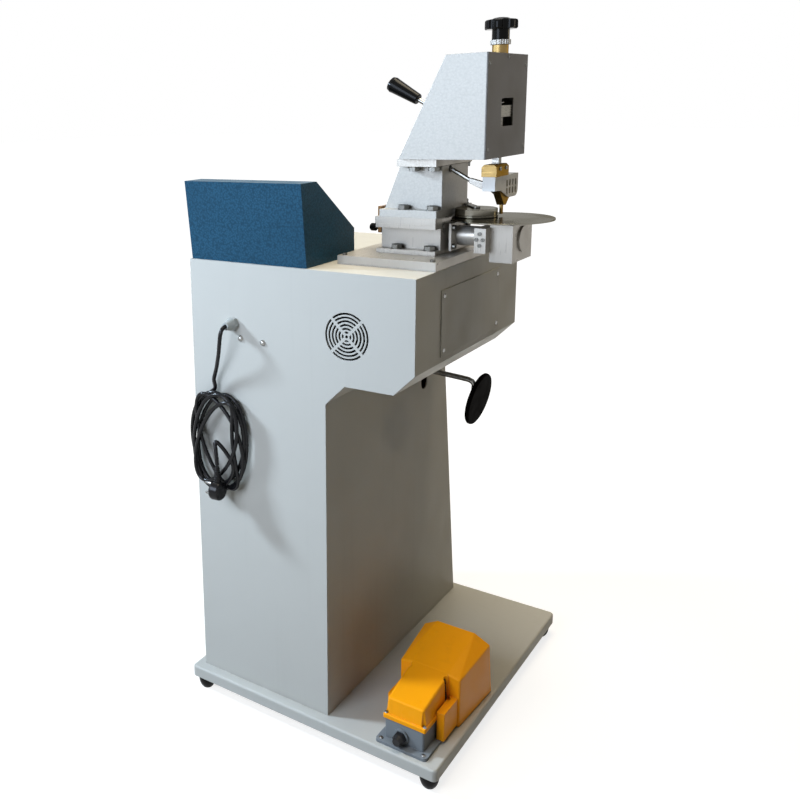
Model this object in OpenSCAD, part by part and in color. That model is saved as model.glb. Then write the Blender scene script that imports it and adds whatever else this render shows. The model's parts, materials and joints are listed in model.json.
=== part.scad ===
// Pedal-operated heat pressing machine with a heated bit over a turning steel disc.
// Frame: +Z up, the operator stands at -Y and looks along +Y, the floor is Z = 0.
// X = 0 is the middle of the overall width, Y = 0 is the middle of the base plate.

/* [Base plate] */
// Width of the base plate
base_w = 501; // [480:1:520]
// Depth of the base plate
base_d = 572; // [560:1:620]
// Height of the folded rim of the base plate
base_h = 21; // [18:1:30]
// Sheet thickness of the base plate
base_wall = 3; // [2:0.5:4]
// Corner radius of the base plate
base_corner = 8; // [6:1:12]
// Size of the rounded fold along the top edge of the base plate
base_fold = 4; // [2:0.5:6]
// Diameter of a rubber foot
foot_d = 32; // [26:1:36]
// Height of a rubber foot
foot_h = 26; // [20:1:30]
// Distance of the foot centres from the edges of the base plate
foot_inset = 20; // [18:1:40]

/* [Cabinet] */
// Width of the column
col_w = 272; // [250:1:290]
// Gap between the column and the right edge of the base plate
col_inset = 18; // [10:1:30]
// Gap between the back of the cabinet and the rear edge of the base plate
back_inset = 20; // [12:1:30]
// Depth of the column at the base plate
col_depth = 530; // [500:1:540]
// Depth of the column at the underside of the arm
col_depth_top = 450; // [430:1:470]
// Height of the cabinet above the base plate
cab_h = 789; // [760:1:820]
// Reach of the arm beyond the column
arm_reach = 155; // [140:1:165]
// Height of the arm
arm_h = 183; // [170:1:200]
// Depth of the arm
arm_depth = 412; // [390:1:425]
// Bevel along the lower edge of the arm and in the corner to the column
arm_bevel = 35; // [20:1:45]
// Sheet thickness of the cabinet
cab_wall = 2.5; // [1.5:0.5:4]

/* [Grille, gland and back bolts] */
// Outer diameter of the fan grille
grille_d = 77; // [70:1:84]
// Width of one ring slot of the grille
grille_slot = 3.2; // [2:0.2:4]
// Distance from one ring slot to the next
grille_pitch = 6; // [5:0.5:8]
// Width of the four spokes between the slots
grille_spoke = 5; // [3:0.5:8]
// Distance of the grille's centre from the column's left face
grille_out = 39; // [36:1:60]
// Height of the grille's centre above the base plate
grille_z = 688; // [670:1:700]
// Distance of the cable gland from the column's right face
gland_in = 91; // [70:1:110]
// Height of the cable gland above the base plate
gland_z = 683; // [660:1:700]
// Diameter of the cable gland's thread
gland_d = 16; // [12:1:20]
// Head diameter of the domed bolts in the back
back_bolt_d = 11; // [8:1:14]
// Distance between the two domed bolts
back_bolt_pitch = 46; // [40:1:60]

/* [Access cover] */
// Length of the access cover on the arm
acc_w = 237; // [200:1:260]
// Height of the access cover
acc_h = 107; // [90:1:115]
// Thickness of the access cover
acc_t = 1.5; // [1:0.5:3]
// Distance of the access cover from the back of the cabinet
acc_y = 88; // [60:1:110]
// Height of the lower edge of the access cover above the base plate
acc_z = 650; // [645:1:665]
// Distance of a screw from the edges of the access cover
acc_inset = 10; // [8:1:14]
// Head diameter of the domed casing screws
screw_d = 8; // [6:0.5:10]

/* [Cooling fan] */
// Side length of the fan frame
fan_w = 80; // [76:1:84]
// Depth of the fan frame
fan_t = 25; // [20:1:32]
// Diameter of the fan's hub
fan_hub = 32; // [28:1:36]
// Number of fan blades
fan_blades = 7; // [5:1:9]

/* [Control box] */
// Width of the control box
ctl_w = 234; // [210:1:250]
// Gap between the control box and the column's right face
ctl_inset = 2; // [0:1:10]
// Height of the control box
ctl_h = 135; // [120:1:150]
// Distance of the foot of its rear wall from the back of the cabinet
ctl_back = 5; // [4:1:20]
// Depth of the control box at its foot
ctl_depth = 152; // [140:1:170]
// Lean of the rear wall out over the back
ctl_lean = 14; // [0:1:16]
// Height of the short front wall
ctl_front = 47; // [35:1:60]
// Depth of the flat top
ctl_top = 46; // [40:1:60]
// Sheet thickness of the control box
ctl_wall = 2; // [1.5:0.5:3]
// Diameter of a panel knob
dial_d = 26; // [20:1:32]
// Height of a panel knob
dial_h = 15; // [12:1:20]
// Length of the rocker switch
rocker_l = 28; // [24:1:32]
// Width of the rocker switch
rocker_w = 21; // [18:1:26]

/* [Bed plate and riser] */
// Width of the bed plate
bed_w = 171; // [165:1:175]
// Depth of the bed plate
bed_d = 250; // [230:1:270]
// Thickness of the bed plate
bed_t = 14; // [10:1:18]
// Distance of the head's middle plane from the back of the cabinet
work_back = 193; // [180:1:200]
// Distance of the riser's left face from the arm's left face
riser_in = 28; // [24:1:32]
// Width of the riser block
riser_w = 103; // [95:1:108]
// Depth of the flanges of riser, slide and neck
flange_d = 139; // [130:1:150]
// Thickness of the riser's foot flange
riser_flange = 7; // [6:1:10]
// Depth of the riser block
riser_d = 100; // [94:1:104]
// Height of the riser block above its flange
riser_h = 34.5; // [33:0.5:40]
// Thickness of the lower slide plate
slide_base_t = 6.5; // [5:0.5:9]
// Thickness of the upper slide plate
slide_t = 11; // [9:0.5:14]
// Width of the guide rib between the slide plates
rib_w = 24; // [18:1:30]
// Height of the guide rib
rib_h = 4; // [3:0.5:5]
// Size across the flats of the flange bolts
hex_af = 16; // [13:1:17]
// Thickness of a flange bolt's head
hex_h = 6; // [5:0.5:8]
// Distance of the flange bolts from the ends of their flange
hex_inset = 18; // [16:1:24]

/* [Neck] */
// Offset of the neck's left face beyond the slide plate
neck_out = 1; // [0.5:0.5:3]
// Width of the neck's foot flange
neck_w = 98.5; // [95:0.5:105]
// Thickness of the neck's foot flange
neck_flange = 12; // [10:0.5:14]
// Depth of the neck's body
neck_d = 100; // [94:1:104]
// Height of the neck's body
neck_h = 68.5; // [60:0.5:80]
// Width of the neck's body at its top
neck_top_w = 72; // [68:0.5:80]
// Width of the head's mounting plate
mount_w = 67; // [60:1:72]
// Thickness of the head's mounting plate
mount_t = 12; // [10:0.5:14]

/* [Head] */
// Depth of the head casing
head_d = 162; // [150:1:170]
// Height of the head casing
head_h = 154; // [145:1:165]
// Length of the head casing along its foot
head_foot = 141; // [135:1:150]
// Length of the head casing along its top
head_top = 65; // [60:1:75]
// Distance of the head's front face beyond the neck's left face
head_out = 81; // [76:0.5:84]
// Wall thickness of the head casing
head_wall = 4; // [3:0.5:6]
// Thickness of the head's front cover
front_t = 2; // [1.5:0.5:3]
// Width of the window in the front cover
window_w = 48; // [40:1:54]
// Height of the window
window_h = 42; // [36:1:46]
// Height of the window's lower edge above the head's foot
window_z = 46.5; // [40:0.5:55]

/* [Spindle and pressure screw] */
// Distance of the spindle axis behind the head's front face
spindle_in = 14; // [13.5:0.5:16]
// Side of the square spindle
spindle_w = 11; // [9:0.5:12]
// Side play of the spindle in its guide
slide_play = 0.05; // [0.03:0.01:0.1]
// Width of the lifting block
lift_w = 62; // [50:1:66]
// Height of the lifting block
lift_h = 17; // [14:1:20]
// Height of the lifting block above the head's foot
lift_z = 60.5; // [58:0.5:64]
// Diameter of the spindle's round stem
stem_d = 8; // [6:0.5:10]
// Outer diameter of the brass bush
bush_d = 24; // [20:1:28]
// Height of the bush above the head
bush_h = 13; // [10:1:16]
// Diameter of the pressure screw
screw_m = 12; // [10:0.5:12]
// Outer diameter of the lock ring
ring_d = 30; // [26:1:34]
// Height of the lock ring
ring_h = 7; // [5:0.5:9]
// Diameter over the lobes of the star knob
knob_d = 49; // [44:1:56]
// Height of the star knob's lobes
knob_h = 14; // [12:1:20]
// Diameter of the star knob's neck
knob_neck_d = 26; // [22:1:28]
// Height of the star knob's neck
knob_neck_h = 15; // [10:1:18]
// Number of lobes of the star knob
knob_lobes = 7; // [5:1:8]
// Coil diameter of the pressure spring, to the middle of the wire
spring_d = 15; // [13:0.5:17]
// Wire diameter of the pressure spring
spring_wire = 2; // [1.5:0.25:2.5]

/* [Lift lever] */
// Distance of the lever's pivot behind the spindle axis
lever_back = 65; // [62:1:68]
// Height of the lever's pivot above the head's foot
lever_z = 52.5; // [50:0.5:54]
// Angle of the lever above the horizontal
lever_tilt = 29.3; // [26:0.1:32]
// Diameter of the lever's stem
lever_d = 7; // [6:0.5:8]
// Distance from the pivot to the small end of the grip
grip_from = 78; // [74:1:84]
// Length of the grip
grip_l = 58; // [50:1:64]
// Diameter of the grip's free end
grip_big = 26; // [20:0.5:28]
// Diameter of the grip's small end
grip_small = 18; // [13:0.5:20]
// Diameter of the lever's pivot pin
lever_pin = 8; // [6:0.5:9]

/* [Heater and bit] */
// Width of the brass heater block
heat_w = 24; // [22:1:26]
// Depth of the heater block
heat_d = 51; // [46:1:54]
// Height of the heater block
heat_h = 18.5; // [16:0.5:22]
// Gap between the head and the heater block
heat_drop = 10.8; // [10.6:0.2:14]
// Width of the slotted guard
guard_w = 20; // [18:1:22]
// Depth of the slotted guard
guard_d = 98; // [90:1:104]
// Height of the guard's rear part
guard_h = 22; // [20:1:26]
// Extra height of the guard's front part
guard_drop = 14; // [10:1:18]
// Sheet thickness of the guard
guard_wall = 1.5; // [1:0.25:2]
// Distance of the bit in front of the spindle axis
bit_out = 26; // [22:1:30]
// Gap between the bit's tip and the disc at rest
bit_gap = 3; // [3:0.5:4]
// Depth of the bit's wedge at its top
bit_w = 48; // [42:1:52]
// Thickness of the bit's wedge
bit_t = 14; // [12:1:16]
// Length of the bit's tip
tip_l = 14.5; // [14:0.5:16]

/* [Disc and drive] */
// Distance of the disc's axis beyond the neck's left face
disc_out = 80; // [79:0.5:81]
// Diameter of the disc
disc_d = 156; // [150:1:162]
// Thickness of the disc
disc_t = 2; // [2:0.5:4]
// Height of the disc's upper face above the bed plate
disc_z = 57; // [56:0.5:58]
// Height of the drive shaft above the bed plate
shaft_z = 26; // [25:0.5:27]
// Diameter of the drive shaft
shaft_d = 10; // [8:0.5:11]
// Diameter of the bearing tube
tube_d = 32; // [28:0.5:33]
// Width of the gearbox
box_w = 36; // [34:1:40]
// Depth of the gearbox
box_d = 83; // [78:1:90]
// Height of the gearbox
box_h = 58.5; // [54:0.5:60]
// Distance of the clamp's left face to the right of the disc's axis
box_in = 4; // [3:0.5:5]
// Wall thickness of the gearbox
box_wall = 3.5; // [3:0.5:5]
// Diameter of the round cap on the gearbox
cap_d = 40; // [34:1:44]
// Width of the clamp block
clamp_w = 17.5; // [15:0.5:19]
// Diameter of the guide roller
roller_d = 67; // [62:1:67]
// Height of the guide roller
roller_h = 13.5; // [12:0.5:14]
// Distance of the roller's axis to the right of the disc's axis
roller_x = 44; // [43.5:0.5:45]

/* [Knee lever] */
// Diameter of the knee pad
pad_d = 100; // [90:1:110]
// Thickness of the knee pad
pad_t = 8; // [6:1:12]
// Diameter of the knee rod
rod_d = 10; // [8:0.5:12]
// Width of the slot for the knee rod
slot_w = 27; // [22:1:30]
// Distance of the knee rod from the back of the cabinet
knee_y = 365; // [350:1:380]
// Height of the knee rod above the base plate
knee_z = 540; // [535:1:545]

/* [Foot switch] */
// Distance of the foot switch's middle from the column
sw_x = 143; // [142:1:146]
// Width of the foot switch's foot flange
sw_w = 92; // [88:1:94]
// Width of the foot switch's body
sw_body_w = 70; // [66:1:74]
// Height of the grey lower body
sw_body_h = 40; // [38:1:42]
// Width of the orange cover
sw_cover_w = 76; // [74:1:78]
// Height of the cover's sloping top at the cord's end
sw_cover_h = 78; // [74:1:82]
// Width of the hood where it meets the box
hood_w = 110; // [106:1:112]
// Width of the hood at its mouth
mouth_w = 124; // [118:1:126]
// Height of the hood's side walls at the box
hood_side_h = 92; // [88:1:96]
// Height of the hood's top at its mouth
hood_h = 118; // [114:1:122]
// Wall thickness of the hood
hood_wall = 3; // [2.5:0.5:4]
// Width of the pedal's plate
pedal_w = 92; // [80:1:96]
// Length of the pedal's plate
pedal_l = 88; // [80:1:92]
// Diameter of the pedal's pivot pin
pedal_pin = 8; // [6:0.5:10]

/* [Cord and plug] */
// Diameter of the mains cord
cord_d = 7; // [6:0.5:8]
// Width of the hanging coil
coil_w = 140; // [130:1:150]
// Height of the hanging coil
coil_h = 196; // [180:1:205]

/* [Hidden] */
$fn = 72;

// Clearances
eps = 0.01;        // overshoot of a cut
slip = 0.05;       // between flat faces that slide, and radially in a bearing
gap = 0.3;         // between parts that pass each other

// Base plate and cabinet, centred on the width from the base plate's right edge to the disc's left
overall_w = col_inset + col_w + arm_reach - riser_in + neck_out + disc_out + disc_d / 2;
base_r = overall_w / 2;
base_l = base_r - base_w;
base_top = foot_h + base_h;
back_y = base_d / 2 - back_inset;
col_r = base_r - col_inset;
col_l = col_r - col_w;
arm_l = col_l - arm_reach;
cab_top = base_top + cab_h;

// Points of the grille, gland and bolts on the back
grille_x = col_l - grille_out;
grille_h = base_top + grille_z;
gland_x = col_r - gland_in;
gland_h = base_top + gland_z;
bolt_x = gland_x - 14;
bolt_h = gland_h - 24;

// Control box
ctl_r = col_r - ctl_inset;
ctl_l = ctl_r - ctl_w;
ctl_y = back_y - ctl_back;
ctl_slope_y = ctl_depth + ctl_lean - ctl_top;
ctl_slope_z = ctl_h - ctl_front;
ctl_slope_l = norm([ctl_slope_y, ctl_slope_z]);
ctl_angle = atan2(ctl_slope_z, ctl_slope_y);

// Bed and riser
bed_l = arm_l + 1;
bed_r = bed_l + bed_w;
bed_top = cab_top + bed_t;
work_y = back_y - work_back;
riser_l = arm_l + riser_in;
riser_r = riser_l + riser_w;
riser_top = bed_top + riser_flange + riser_h;
slide_z = riser_top + slide_base_t;
slide_top = slide_z + slip + slide_t;
neck_l = riser_l - neck_out;
neck_foot = slide_top + neck_flange;
neck_top = neck_foot + neck_h;
mount_l = neck_l + 1.5;
mount_r = mount_l + mount_w;

// Head
head_z = neck_top + mount_t;
head_top_z = head_z + head_h;
head_l = neck_l - head_out;
head_shell_l = head_l + front_t;
head_foot_r = head_l + head_foot;
head_top_r = head_l + head_top;
spindle_x = head_l + spindle_in;
lift_bottom = head_z + lift_z;
lift_top = lift_bottom + lift_h;
bush_top = head_top_z + bush_h;
ring_top = bush_top + gap + ring_h;
knob_base = ring_top + gap;
seat_z = head_top_z - head_wall - 25.5;
seat_h = 5;
heat_top = head_z - heat_drop;
guard_top = heat_top - heat_h;
lever_x = spindle_x + lever_back;
lever_h = head_z + lever_z;
bit_y = work_y - bit_out;

// Disc and drive
disc_x = neck_l - disc_out;
disc_y = work_y;
disc_top = bed_top + disc_z;
disc_bottom = disc_top - disc_t;
shaft_h = bed_top + shaft_z;
box_r = disc_x + box_in;
box_l = box_r - box_w;
box_top = disc_bottom - 4;
box_z = box_top - box_h;
clamp_r = box_r + clamp_w;
plate_t = 4;
plate_r = riser_l - 7;
plate_l = plate_r - plate_t;
plate_d = 68;
plate_h = 44;
roll_x = disc_x + roller_x;
roll_y = disc_y - 1;
roll_z = disc_top + 0.4;
groove_z = 3.5;

// Knee lever
knee_y0 = back_y - knee_y;
knee_h = base_top + knee_z;
knee_pivot_x = col_l + 40;
knee_pivot_z = knee_h + 60;
knee_pin = 12;

// Foot switch: y counts towards the operator from the back of the cabinet
sw_cx = col_l - sw_x;
flange_l = 232;
flange_t = 5.5;
flange_y = 106;
grey_l = 84;
grey_y = 46;
hood_y = 99;
mouth_y = 210;
pivot_y = 106;
pivot_z = 22;
ear_x = 28;
cord_x = 4;
cord_z = 19;

// Control panel: positions count from the middle of the panel's lower edge
panel_t = 2;
dial1_x = -66;
dial2_x = 66;
dial_y = 62;
rocker_y = 62;
rocker_z = -1;

// Cross slide adjuster
slide_r = riser_r + 2.5;
adj_t = 6;
adj_w = 96;
adj_y = -42;
adj_z = riser_top - 4;
adj_screw_d = 5;

// Spindle details
guide_d = 20;
lift_t = 2 * (spindle_in - front_t - gap);
nose_r = lever_x - spindle_x - spindle_w / 2 - 5.5;
nose_z = lift_bottom - gap - 4 - lever_h;
grip_points = [[0, 0], [grip_small / 2 - 1, 0], [grip_small / 2, 1.5],
  [grip_big / 2 - 0.6, grip_l - 12], [grip_big / 2, grip_l - 7], [grip_big / 2 - 1.5, grip_l - 2],
  [grip_big / 2 - 5, grip_l], [0, grip_l]];
heat_back = 30;
guard_back = 29;
slot_t = 6;        // width of a slot of the guard
slot_pitch = 12.4;
slot_end = 11;
slot_rows = [[-16, -10.5], [-28.5, -23]];

// Gears and housings of the drive
gear_r = 12;
gear_face = 4;
gear_n = 24;
cavity_r = disc_x + gear_r + 2.5;
clamp_l = box_r;
clamp_back = work_y + 60;
clamp_front = work_y - 40;
clamp_z = shaft_h - 18;
clamp_top = shaft_h + 20.5;
motor_d = 26;
motor_l = riser_l + 17 + gap;
motor_r = riser_r - 24 - gap;

// Knee rod
knee_end = col_l - 92;
knee_path = [[132, 60], [128, 22], [124, 9], [118, 2], [110, 0], [20, -6], [3, -7.5],
  [-4, -10], [-8.5, -16], [-7.5, -34]];
pad_lean = 11.4;

// Cord: from inside the gland out and down to the coil, in round figures, counted from the
// middle of the gland's bore on the back
cord_from = [gland_x, back_y, gland_h];
cord_path = [[0, -10, 0], [0, 26, 0], [0, 31, -1.5], [0.5, 35, -6], [1.5, 37, -14], [4, 36, -26],
  [11, 30, -46], [21, 22, -68], [32, 15, -90], [39, 13, -103], [42, 13, -109]];
coil_c = cord_from + [29, 13, -212];
plug_at = cord_from + [7, 39.25, -294];

function mirror_pair(v) = [-v, v];

// Helpers
module block(x0, x1, y0, y1, z0, z1) {
  translate([x0, y0, z0]) cube([x1 - x0, y1 - y0, z1 - z0]);
}

module rounded_block(w, d, h, r) {
  linear_extrude(h) hull()
    for (sx = mirror_pair(w / 2 - r), sy = mirror_pair(d / 2 - r))
      translate([sx, sy]) circle(r, $fn = 32);
}

module along_x(x0, x1, y, z, d) {
  translate([x0, y, z]) rotate([0, 90, 0]) cylinder(d = d, h = x1 - x0);
}

module along_y(y0, y1, x, z, d) {
  translate([x, y1, z]) rotate([90, 0, 0]) cylinder(d = d, h = y1 - y0);
}

module dome_head(d, h) {
  // A low domed screw head on its seat, with a cross-shaped recess left to the finish
  r = (d * d / 4 + h * h) / (2 * h);
  intersection() {
    translate([0, 0, h - r]) sphere(r);
    cylinder(d = d, h = h);
  }
}

module hex_bolt() {
  // A bolt head on a washer
  cylinder(d = hex_af * 1.18, h = 1.2);
  translate([0, 0, 1.2]) cylinder(d = hex_af / cos(30), h = hex_h, $fn = 6);
}

module socket_head(d, h) {
  difference() {
    cylinder(d = d, h = h);
    translate([0, 0, h / 2]) cylinder(d = d * 0.55, h = h, $fn = 6);
  }
}

// A tube swept along a path: one ring of n points square to the path at each point
function unit(v) = v / norm(v);
function path_dir(p, i) = unit(p[min(i + 1, len(p) - 1)] - p[max(i - 1, 0)]);
function path_side(p, i, ref) = unit(cross(path_dir(p, i), ref));

module tube_sweep(path, d, n = 10, ref = [1, 0.05, 0]) {
  m = len(path);
  rings = [for (i = [0 : m - 1]) let (t = path_dir(path, i), a = path_side(path, i, ref),
    b = cross(t, a)) for (j = [0 : n - 1]) let (w = j * 360 / n)
      path[i] + d / 2 * (cos(w) * a + sin(w) * b)];
  walls = [for (i = [0 : m - 2], j = [0 : n - 1]) let (k = (j + 1) % n)
    [i * n + j, (i + 1) * n + j, (i + 1) * n + k, i * n + k]];
  ends = [[for (j = [0 : n - 1]) j], [for (j = [n - 1 : -1 : 0]) (m - 1) * n + j]];
  polyhedron(points = rings, faces = concat(ends, walls), convexity = 10);
}

// Base plate: a folded tray, open below, with four bosses for the feet
module base_plate() {
  color([0.72, 0.70, 0.65]) translate([(base_l + base_r) / 2, 0, 0]) difference() {
    union() {
      difference() {
        translate([0, 0, foot_h]) hull() for (i = [0 : 4]) let (a = i * 22.5, c = base_fold)
          rounded_block(base_w - 2 * c * (1 - cos(a)), base_d - 2 * c * (1 - cos(a)),
            base_h - c + c * sin(a), base_corner - c * (1 - cos(a)));
        translate([0, 0, foot_h - 1])
          rounded_block(base_w - 2 * base_wall - 4, base_d - 2 * base_wall - 4,
            base_h - base_wall + 1, base_corner - base_wall);
      }
      foot_places() translate([0, 0, foot_h]) cylinder(d = 18, h = base_h - base_wall);
    }
    foot_places() translate([0, 0, foot_h - eps]) cylinder(d = 8, h = base_h - base_wall);
  }
}

module foot_places() {
  for (sx = mirror_pair(base_w / 2 - foot_inset), sy = mirror_pair(base_d / 2 - foot_inset))
    translate([sx, sy, 0]) children();
}

module rubber_feet() {
  // Domed feet, each on a stud that goes up into its boss
  r = foot_d / 2;
  color([0.06, 0.06, 0.06]) translate([(base_l + base_r) / 2, 0, 0]) foot_places() {
    rotate_extrude() intersection() {
      translate([0, foot_h * 0.72]) scale([1, foot_h * 0.9 / r]) circle(r);
      square([r, foot_h]);
    }
    translate([0, 0, foot_h - eps]) cylinder(d = 8 - 2 * slip, h = base_h - base_wall - 2);
  }
}

// Cabinet: folded sheet, an upright column with an arm to the left at its top
module column_profile(inset) {
  // Side view: y counts forward from the back, z up from the base plate
  t = inset;
  step = (col_depth_top - arm_depth);
  offset(delta = -t) polygon([[0, 0], [col_depth, 0], [col_depth_top, cab_h - arm_h],
    [arm_depth, cab_h - arm_h + step], [arm_depth, cab_h], [0, cab_h]]);
}

module arm_profile(inset) {
  // Seen from the back: x counts from the column's left face, z up from the base plate
  z0 = cab_h - arm_h;
  offset(delta = -inset) polygon([[-1, cab_h], [-1, z0 - arm_bevel], [0, z0 - arm_bevel],
    [arm_bevel, z0], [arm_reach - arm_bevel, z0], [arm_reach, z0 + arm_bevel],
    [arm_reach, cab_h]]);
}

module cabinet_form(inset) {
  translate([col_r - inset, back_y, base_top]) rotate([90, 0, -90])
    linear_extrude(col_w - 2 * inset) column_profile(inset);
  translate([col_l, back_y - inset, base_top]) rotate([90, 0, 0]) mirror([1, 0, 0])
    linear_extrude(arm_depth - 2 * inset) union() {
      arm_profile(inset);
      translate([-4 * cab_wall, cab_h - arm_h - arm_bevel + inset])
        square([4 * cab_wall + 2, arm_h + arm_bevel - 2 * inset]);
    }
}

module grille_cuts() {
  // Ring slots between four diagonal spokes, cut through the back
  difference() {
    for (r = [grille_d / 2 : -grille_pitch : grille_slot]) difference() {
      cylinder(r = r, h = 20, center = true);
      cylinder(r = r - grille_slot, h = 21, center = true);
    }
    for (a = [45, 135]) rotate([0, 0, a]) cube([grille_d + 2, grille_spoke, 24], center = true);
  }
  cylinder(r = 2.5, h = 20, center = true);
}

module cabinet_shell() {
  color([0.72, 0.70, 0.65]) difference() {
    cabinet_form(0);
    cabinet_form(cab_wall);
    // open towards the base plate, with a folded flange all round
    block(col_l + 22, col_r - 22, back_y - col_depth + 24, back_y - 22,
      base_top - 1, base_top + cab_wall + 1);
    // fan grille
    translate([grille_x, back_y, grille_h]) rotate([90, 0, 0]) grille_cuts();
    // cable gland
    along_y(back_y - 10, back_y + 10, gland_x, gland_h, gland_d + 2 * slip);
    // access opening behind its cover
    block(arm_l - 10, arm_l + 10, back_y - acc_y - acc_w + 20, back_y - acc_y - 20,
      base_top + acc_z + 20, base_top + acc_z + acc_h - 20);
    // slot of the knee rod
    knee_slot();
    // wire hole under the control box
    translate([ctl_l + 60, ctl_y - 60, cab_top - 10]) cylinder(d = 30, h = 20);
  }
}

module knee_slot() {
  // Round-ended slot, from just above the rod down to where the rod swings
  for (z = [knee_h + 6, knee_h - 27]) along_x(col_l - 10, col_l + 10, knee_y0, z, slot_w);
  block(col_l - 10, col_l + 10, knee_y0 - slot_w / 2, knee_y0 + slot_w / 2,
    knee_h - 27, knee_h + 6);
}

module access_cover() {
  color([0.66, 0.64, 0.59])
    block(arm_l - acc_t, arm_l, back_y - acc_y - acc_w, back_y - acc_y,
      base_top + acc_z, base_top + acc_z + acc_h);
}

module casing_screws() {
  // Domed screws of the access cover and two domed bolts in the back
  color([0.75, 0.75, 0.76]) {
    for (y = [acc_y + acc_inset, acc_y + acc_w - acc_inset], z = [acc_inset, acc_h - acc_inset])
      translate([arm_l - acc_t, back_y - y, base_top + acc_z + z]) rotate([0, -90, 0])
        dome_head(screw_d, 2.5);
    for (i = [0, 1])
      translate([bolt_x - i * back_bolt_pitch, back_y, bolt_h - 2 * i]) rotate([-90, 0, 0])
        dome_head(back_bolt_d, 4);
  }
}

// Cooling fan behind the grille
module fan_place() {
  translate([grille_x, back_y - cab_wall, grille_h]) rotate([90, 0, 0]) children();
}

module fan_frame() {
  color([0.08, 0.08, 0.08]) fan_place() {
    difference() {
      rounded_block(fan_w, fan_w, fan_t, 4);
      translate([0, 0, -1]) cylinder(d = fan_w - 4, h = fan_t + 2);
      for (sx = mirror_pair(fan_w / 2 - 4.3), sy = mirror_pair(fan_w / 2 - 4.3))
        translate([sx, sy, -1]) cylinder(d = 4.3, h = fan_t + 2, $fn = 24);
    }
    for (a = [30 : 90 : 300]) rotate([0, 0, a])
      translate([fan_hub / 2 - 2, -2, fan_t - 3]) cube([fan_w / 2 - fan_hub / 2 + 0.5, 4, 3]);
    translate([0, 0, fan_t - 3]) cylinder(d = fan_hub, h = 3);
    translate([0, 0, 4]) cylinder(d = 4, h = fan_t - 4);
  }
}

module fan_rotor() {
  color([0.14, 0.14, 0.14]) fan_place() difference() {
    union() {
      translate([0, 0, 2]) cylinder(d = fan_hub, h = fan_t - 5 - gap);
      intersection() {
        translate([0, 0, 2]) cylinder(d = fan_w - 6, h = fan_t - 5 - gap);
        for (i = [0 : fan_blades - 1]) rotate([0, 0, i * 360 / fan_blades])
          translate([fan_hub / 2 - 1, 0, fan_t / 2]) rotate([38, 0, 0])
            cube([fan_w / 2, 26, 1.8], center = false);
      }
    }
    translate([0, 0, 3.5]) cylinder(d = 4 + 2 * slip, h = fan_t);
  }
}

// Cable gland, cord, hanging coil and plug
module cable_gland() {
  color([0.35, 0.36, 0.37]) difference() {
    union() {
      along_y(back_y - cab_wall - 6, back_y + 2, gland_x, gland_h, gland_d);
      translate([gland_x, back_y + 8, gland_h]) rotate([90, 0, 0])
        cylinder(d = gland_d * 1.5, h = 8, $fn = 6);
      translate([gland_x, back_y - cab_wall, gland_h]) rotate([90, 0, 0])
        cylinder(d = gland_d * 1.5, h = 5, $fn = 6);
      translate([gland_x, back_y + 8, gland_h]) rotate([-90, 0, 0])
        cylinder(d1 = gland_d * 1.35, d2 = gland_d * 0.8, h = 16);
    }
    along_y(back_y - 30, back_y + 40, gland_x, gland_h, cord_d + 2 * gap);
  }
}

module power_cord() {
  color([0.05, 0.05, 0.05]) translate(cord_from) tube_sweep(cord_path, cord_d);
}

module cord_coil() {
  // The coiled length as one oval ring, as thick as the turns together
  color([0.05, 0.05, 0.05]) translate(coil_c) rotate([90, 0, 0])
    scale([1, (coil_h - 3 * cord_d) / (coil_w - 3 * cord_d), 1])
      rotate_extrude($fn = 48) translate([coil_w / 2 - 1.5 * cord_d, 0])
        scale([1.4, 1.15]) circle(d = 2.2 * cord_d, $fn = 16);
}

module power_plug() {
  // Flat angled plug: round body, ribbed sleeve upwards to the cord, pins to the side
  color([0.05, 0.05, 0.05]) translate(plug_at) {
    along_x(0, 18, 0, 0, 35);
    translate([9, 0, 10]) cylinder(d1 = 17, d2 = cord_d + 3, h = 35);
  }
  color([0.8, 0.8, 0.78]) translate(plug_at)
    for (z = mirror_pair(9.5)) along_x(18, 37, 0, z, 4.8);
}

// Control box with a sloping panel towards the operator
module control_profile(t) {
  offset(delta = -t) polygon([[0, 0], [-ctl_lean, ctl_h], [ctl_top - ctl_lean, ctl_h],
    [ctl_depth, ctl_front], [ctl_depth, 0]]);
}

module control_extrusion(t) {
  translate([ctl_r - t, ctl_y, cab_top]) rotate([90, 0, -90])
    linear_extrude(ctl_w - 2 * t) control_profile(t);
}

module on_panel() {
  // Origin in the middle of the panel's lower edge, z out of the panel
  translate([(ctl_l + ctl_r) / 2, ctl_y - ctl_depth, cab_top + ctl_front])
    rotate([ctl_angle, 0, 0]) children();
}

module control_housing() {
  color([0.10, 0.12, 0.17]) difference() {
    control_extrusion(0);
    control_extrusion(ctl_wall);
    block(ctl_l + 8, ctl_r - 8, ctl_y - ctl_depth + 8, ctl_y - 8, cab_top - 1,
      cab_top + ctl_wall + 1);
    on_panel() translate([-ctl_w / 2 + 18, 16, -8]) cube([ctl_w - 36, ctl_slope_l - 32, 16]);
  }
}

module control_panel() {
  color([0.16, 0.18, 0.22]) on_panel() difference() {
    translate([-ctl_w / 2 + 10, 8, 0]) cube([ctl_w - 20, ctl_slope_l - 16, panel_t]);
    for (x = [dial1_x, dial2_x]) translate([x, dial_y, -1])
      cylinder(d = 6 + 2 * slip, h = panel_t + 2);
    translate([-rocker_l / 2, rocker_y - rocker_w / 2, -1]) cube([rocker_l, rocker_w, panel_t + 2]);
  }
}

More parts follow.
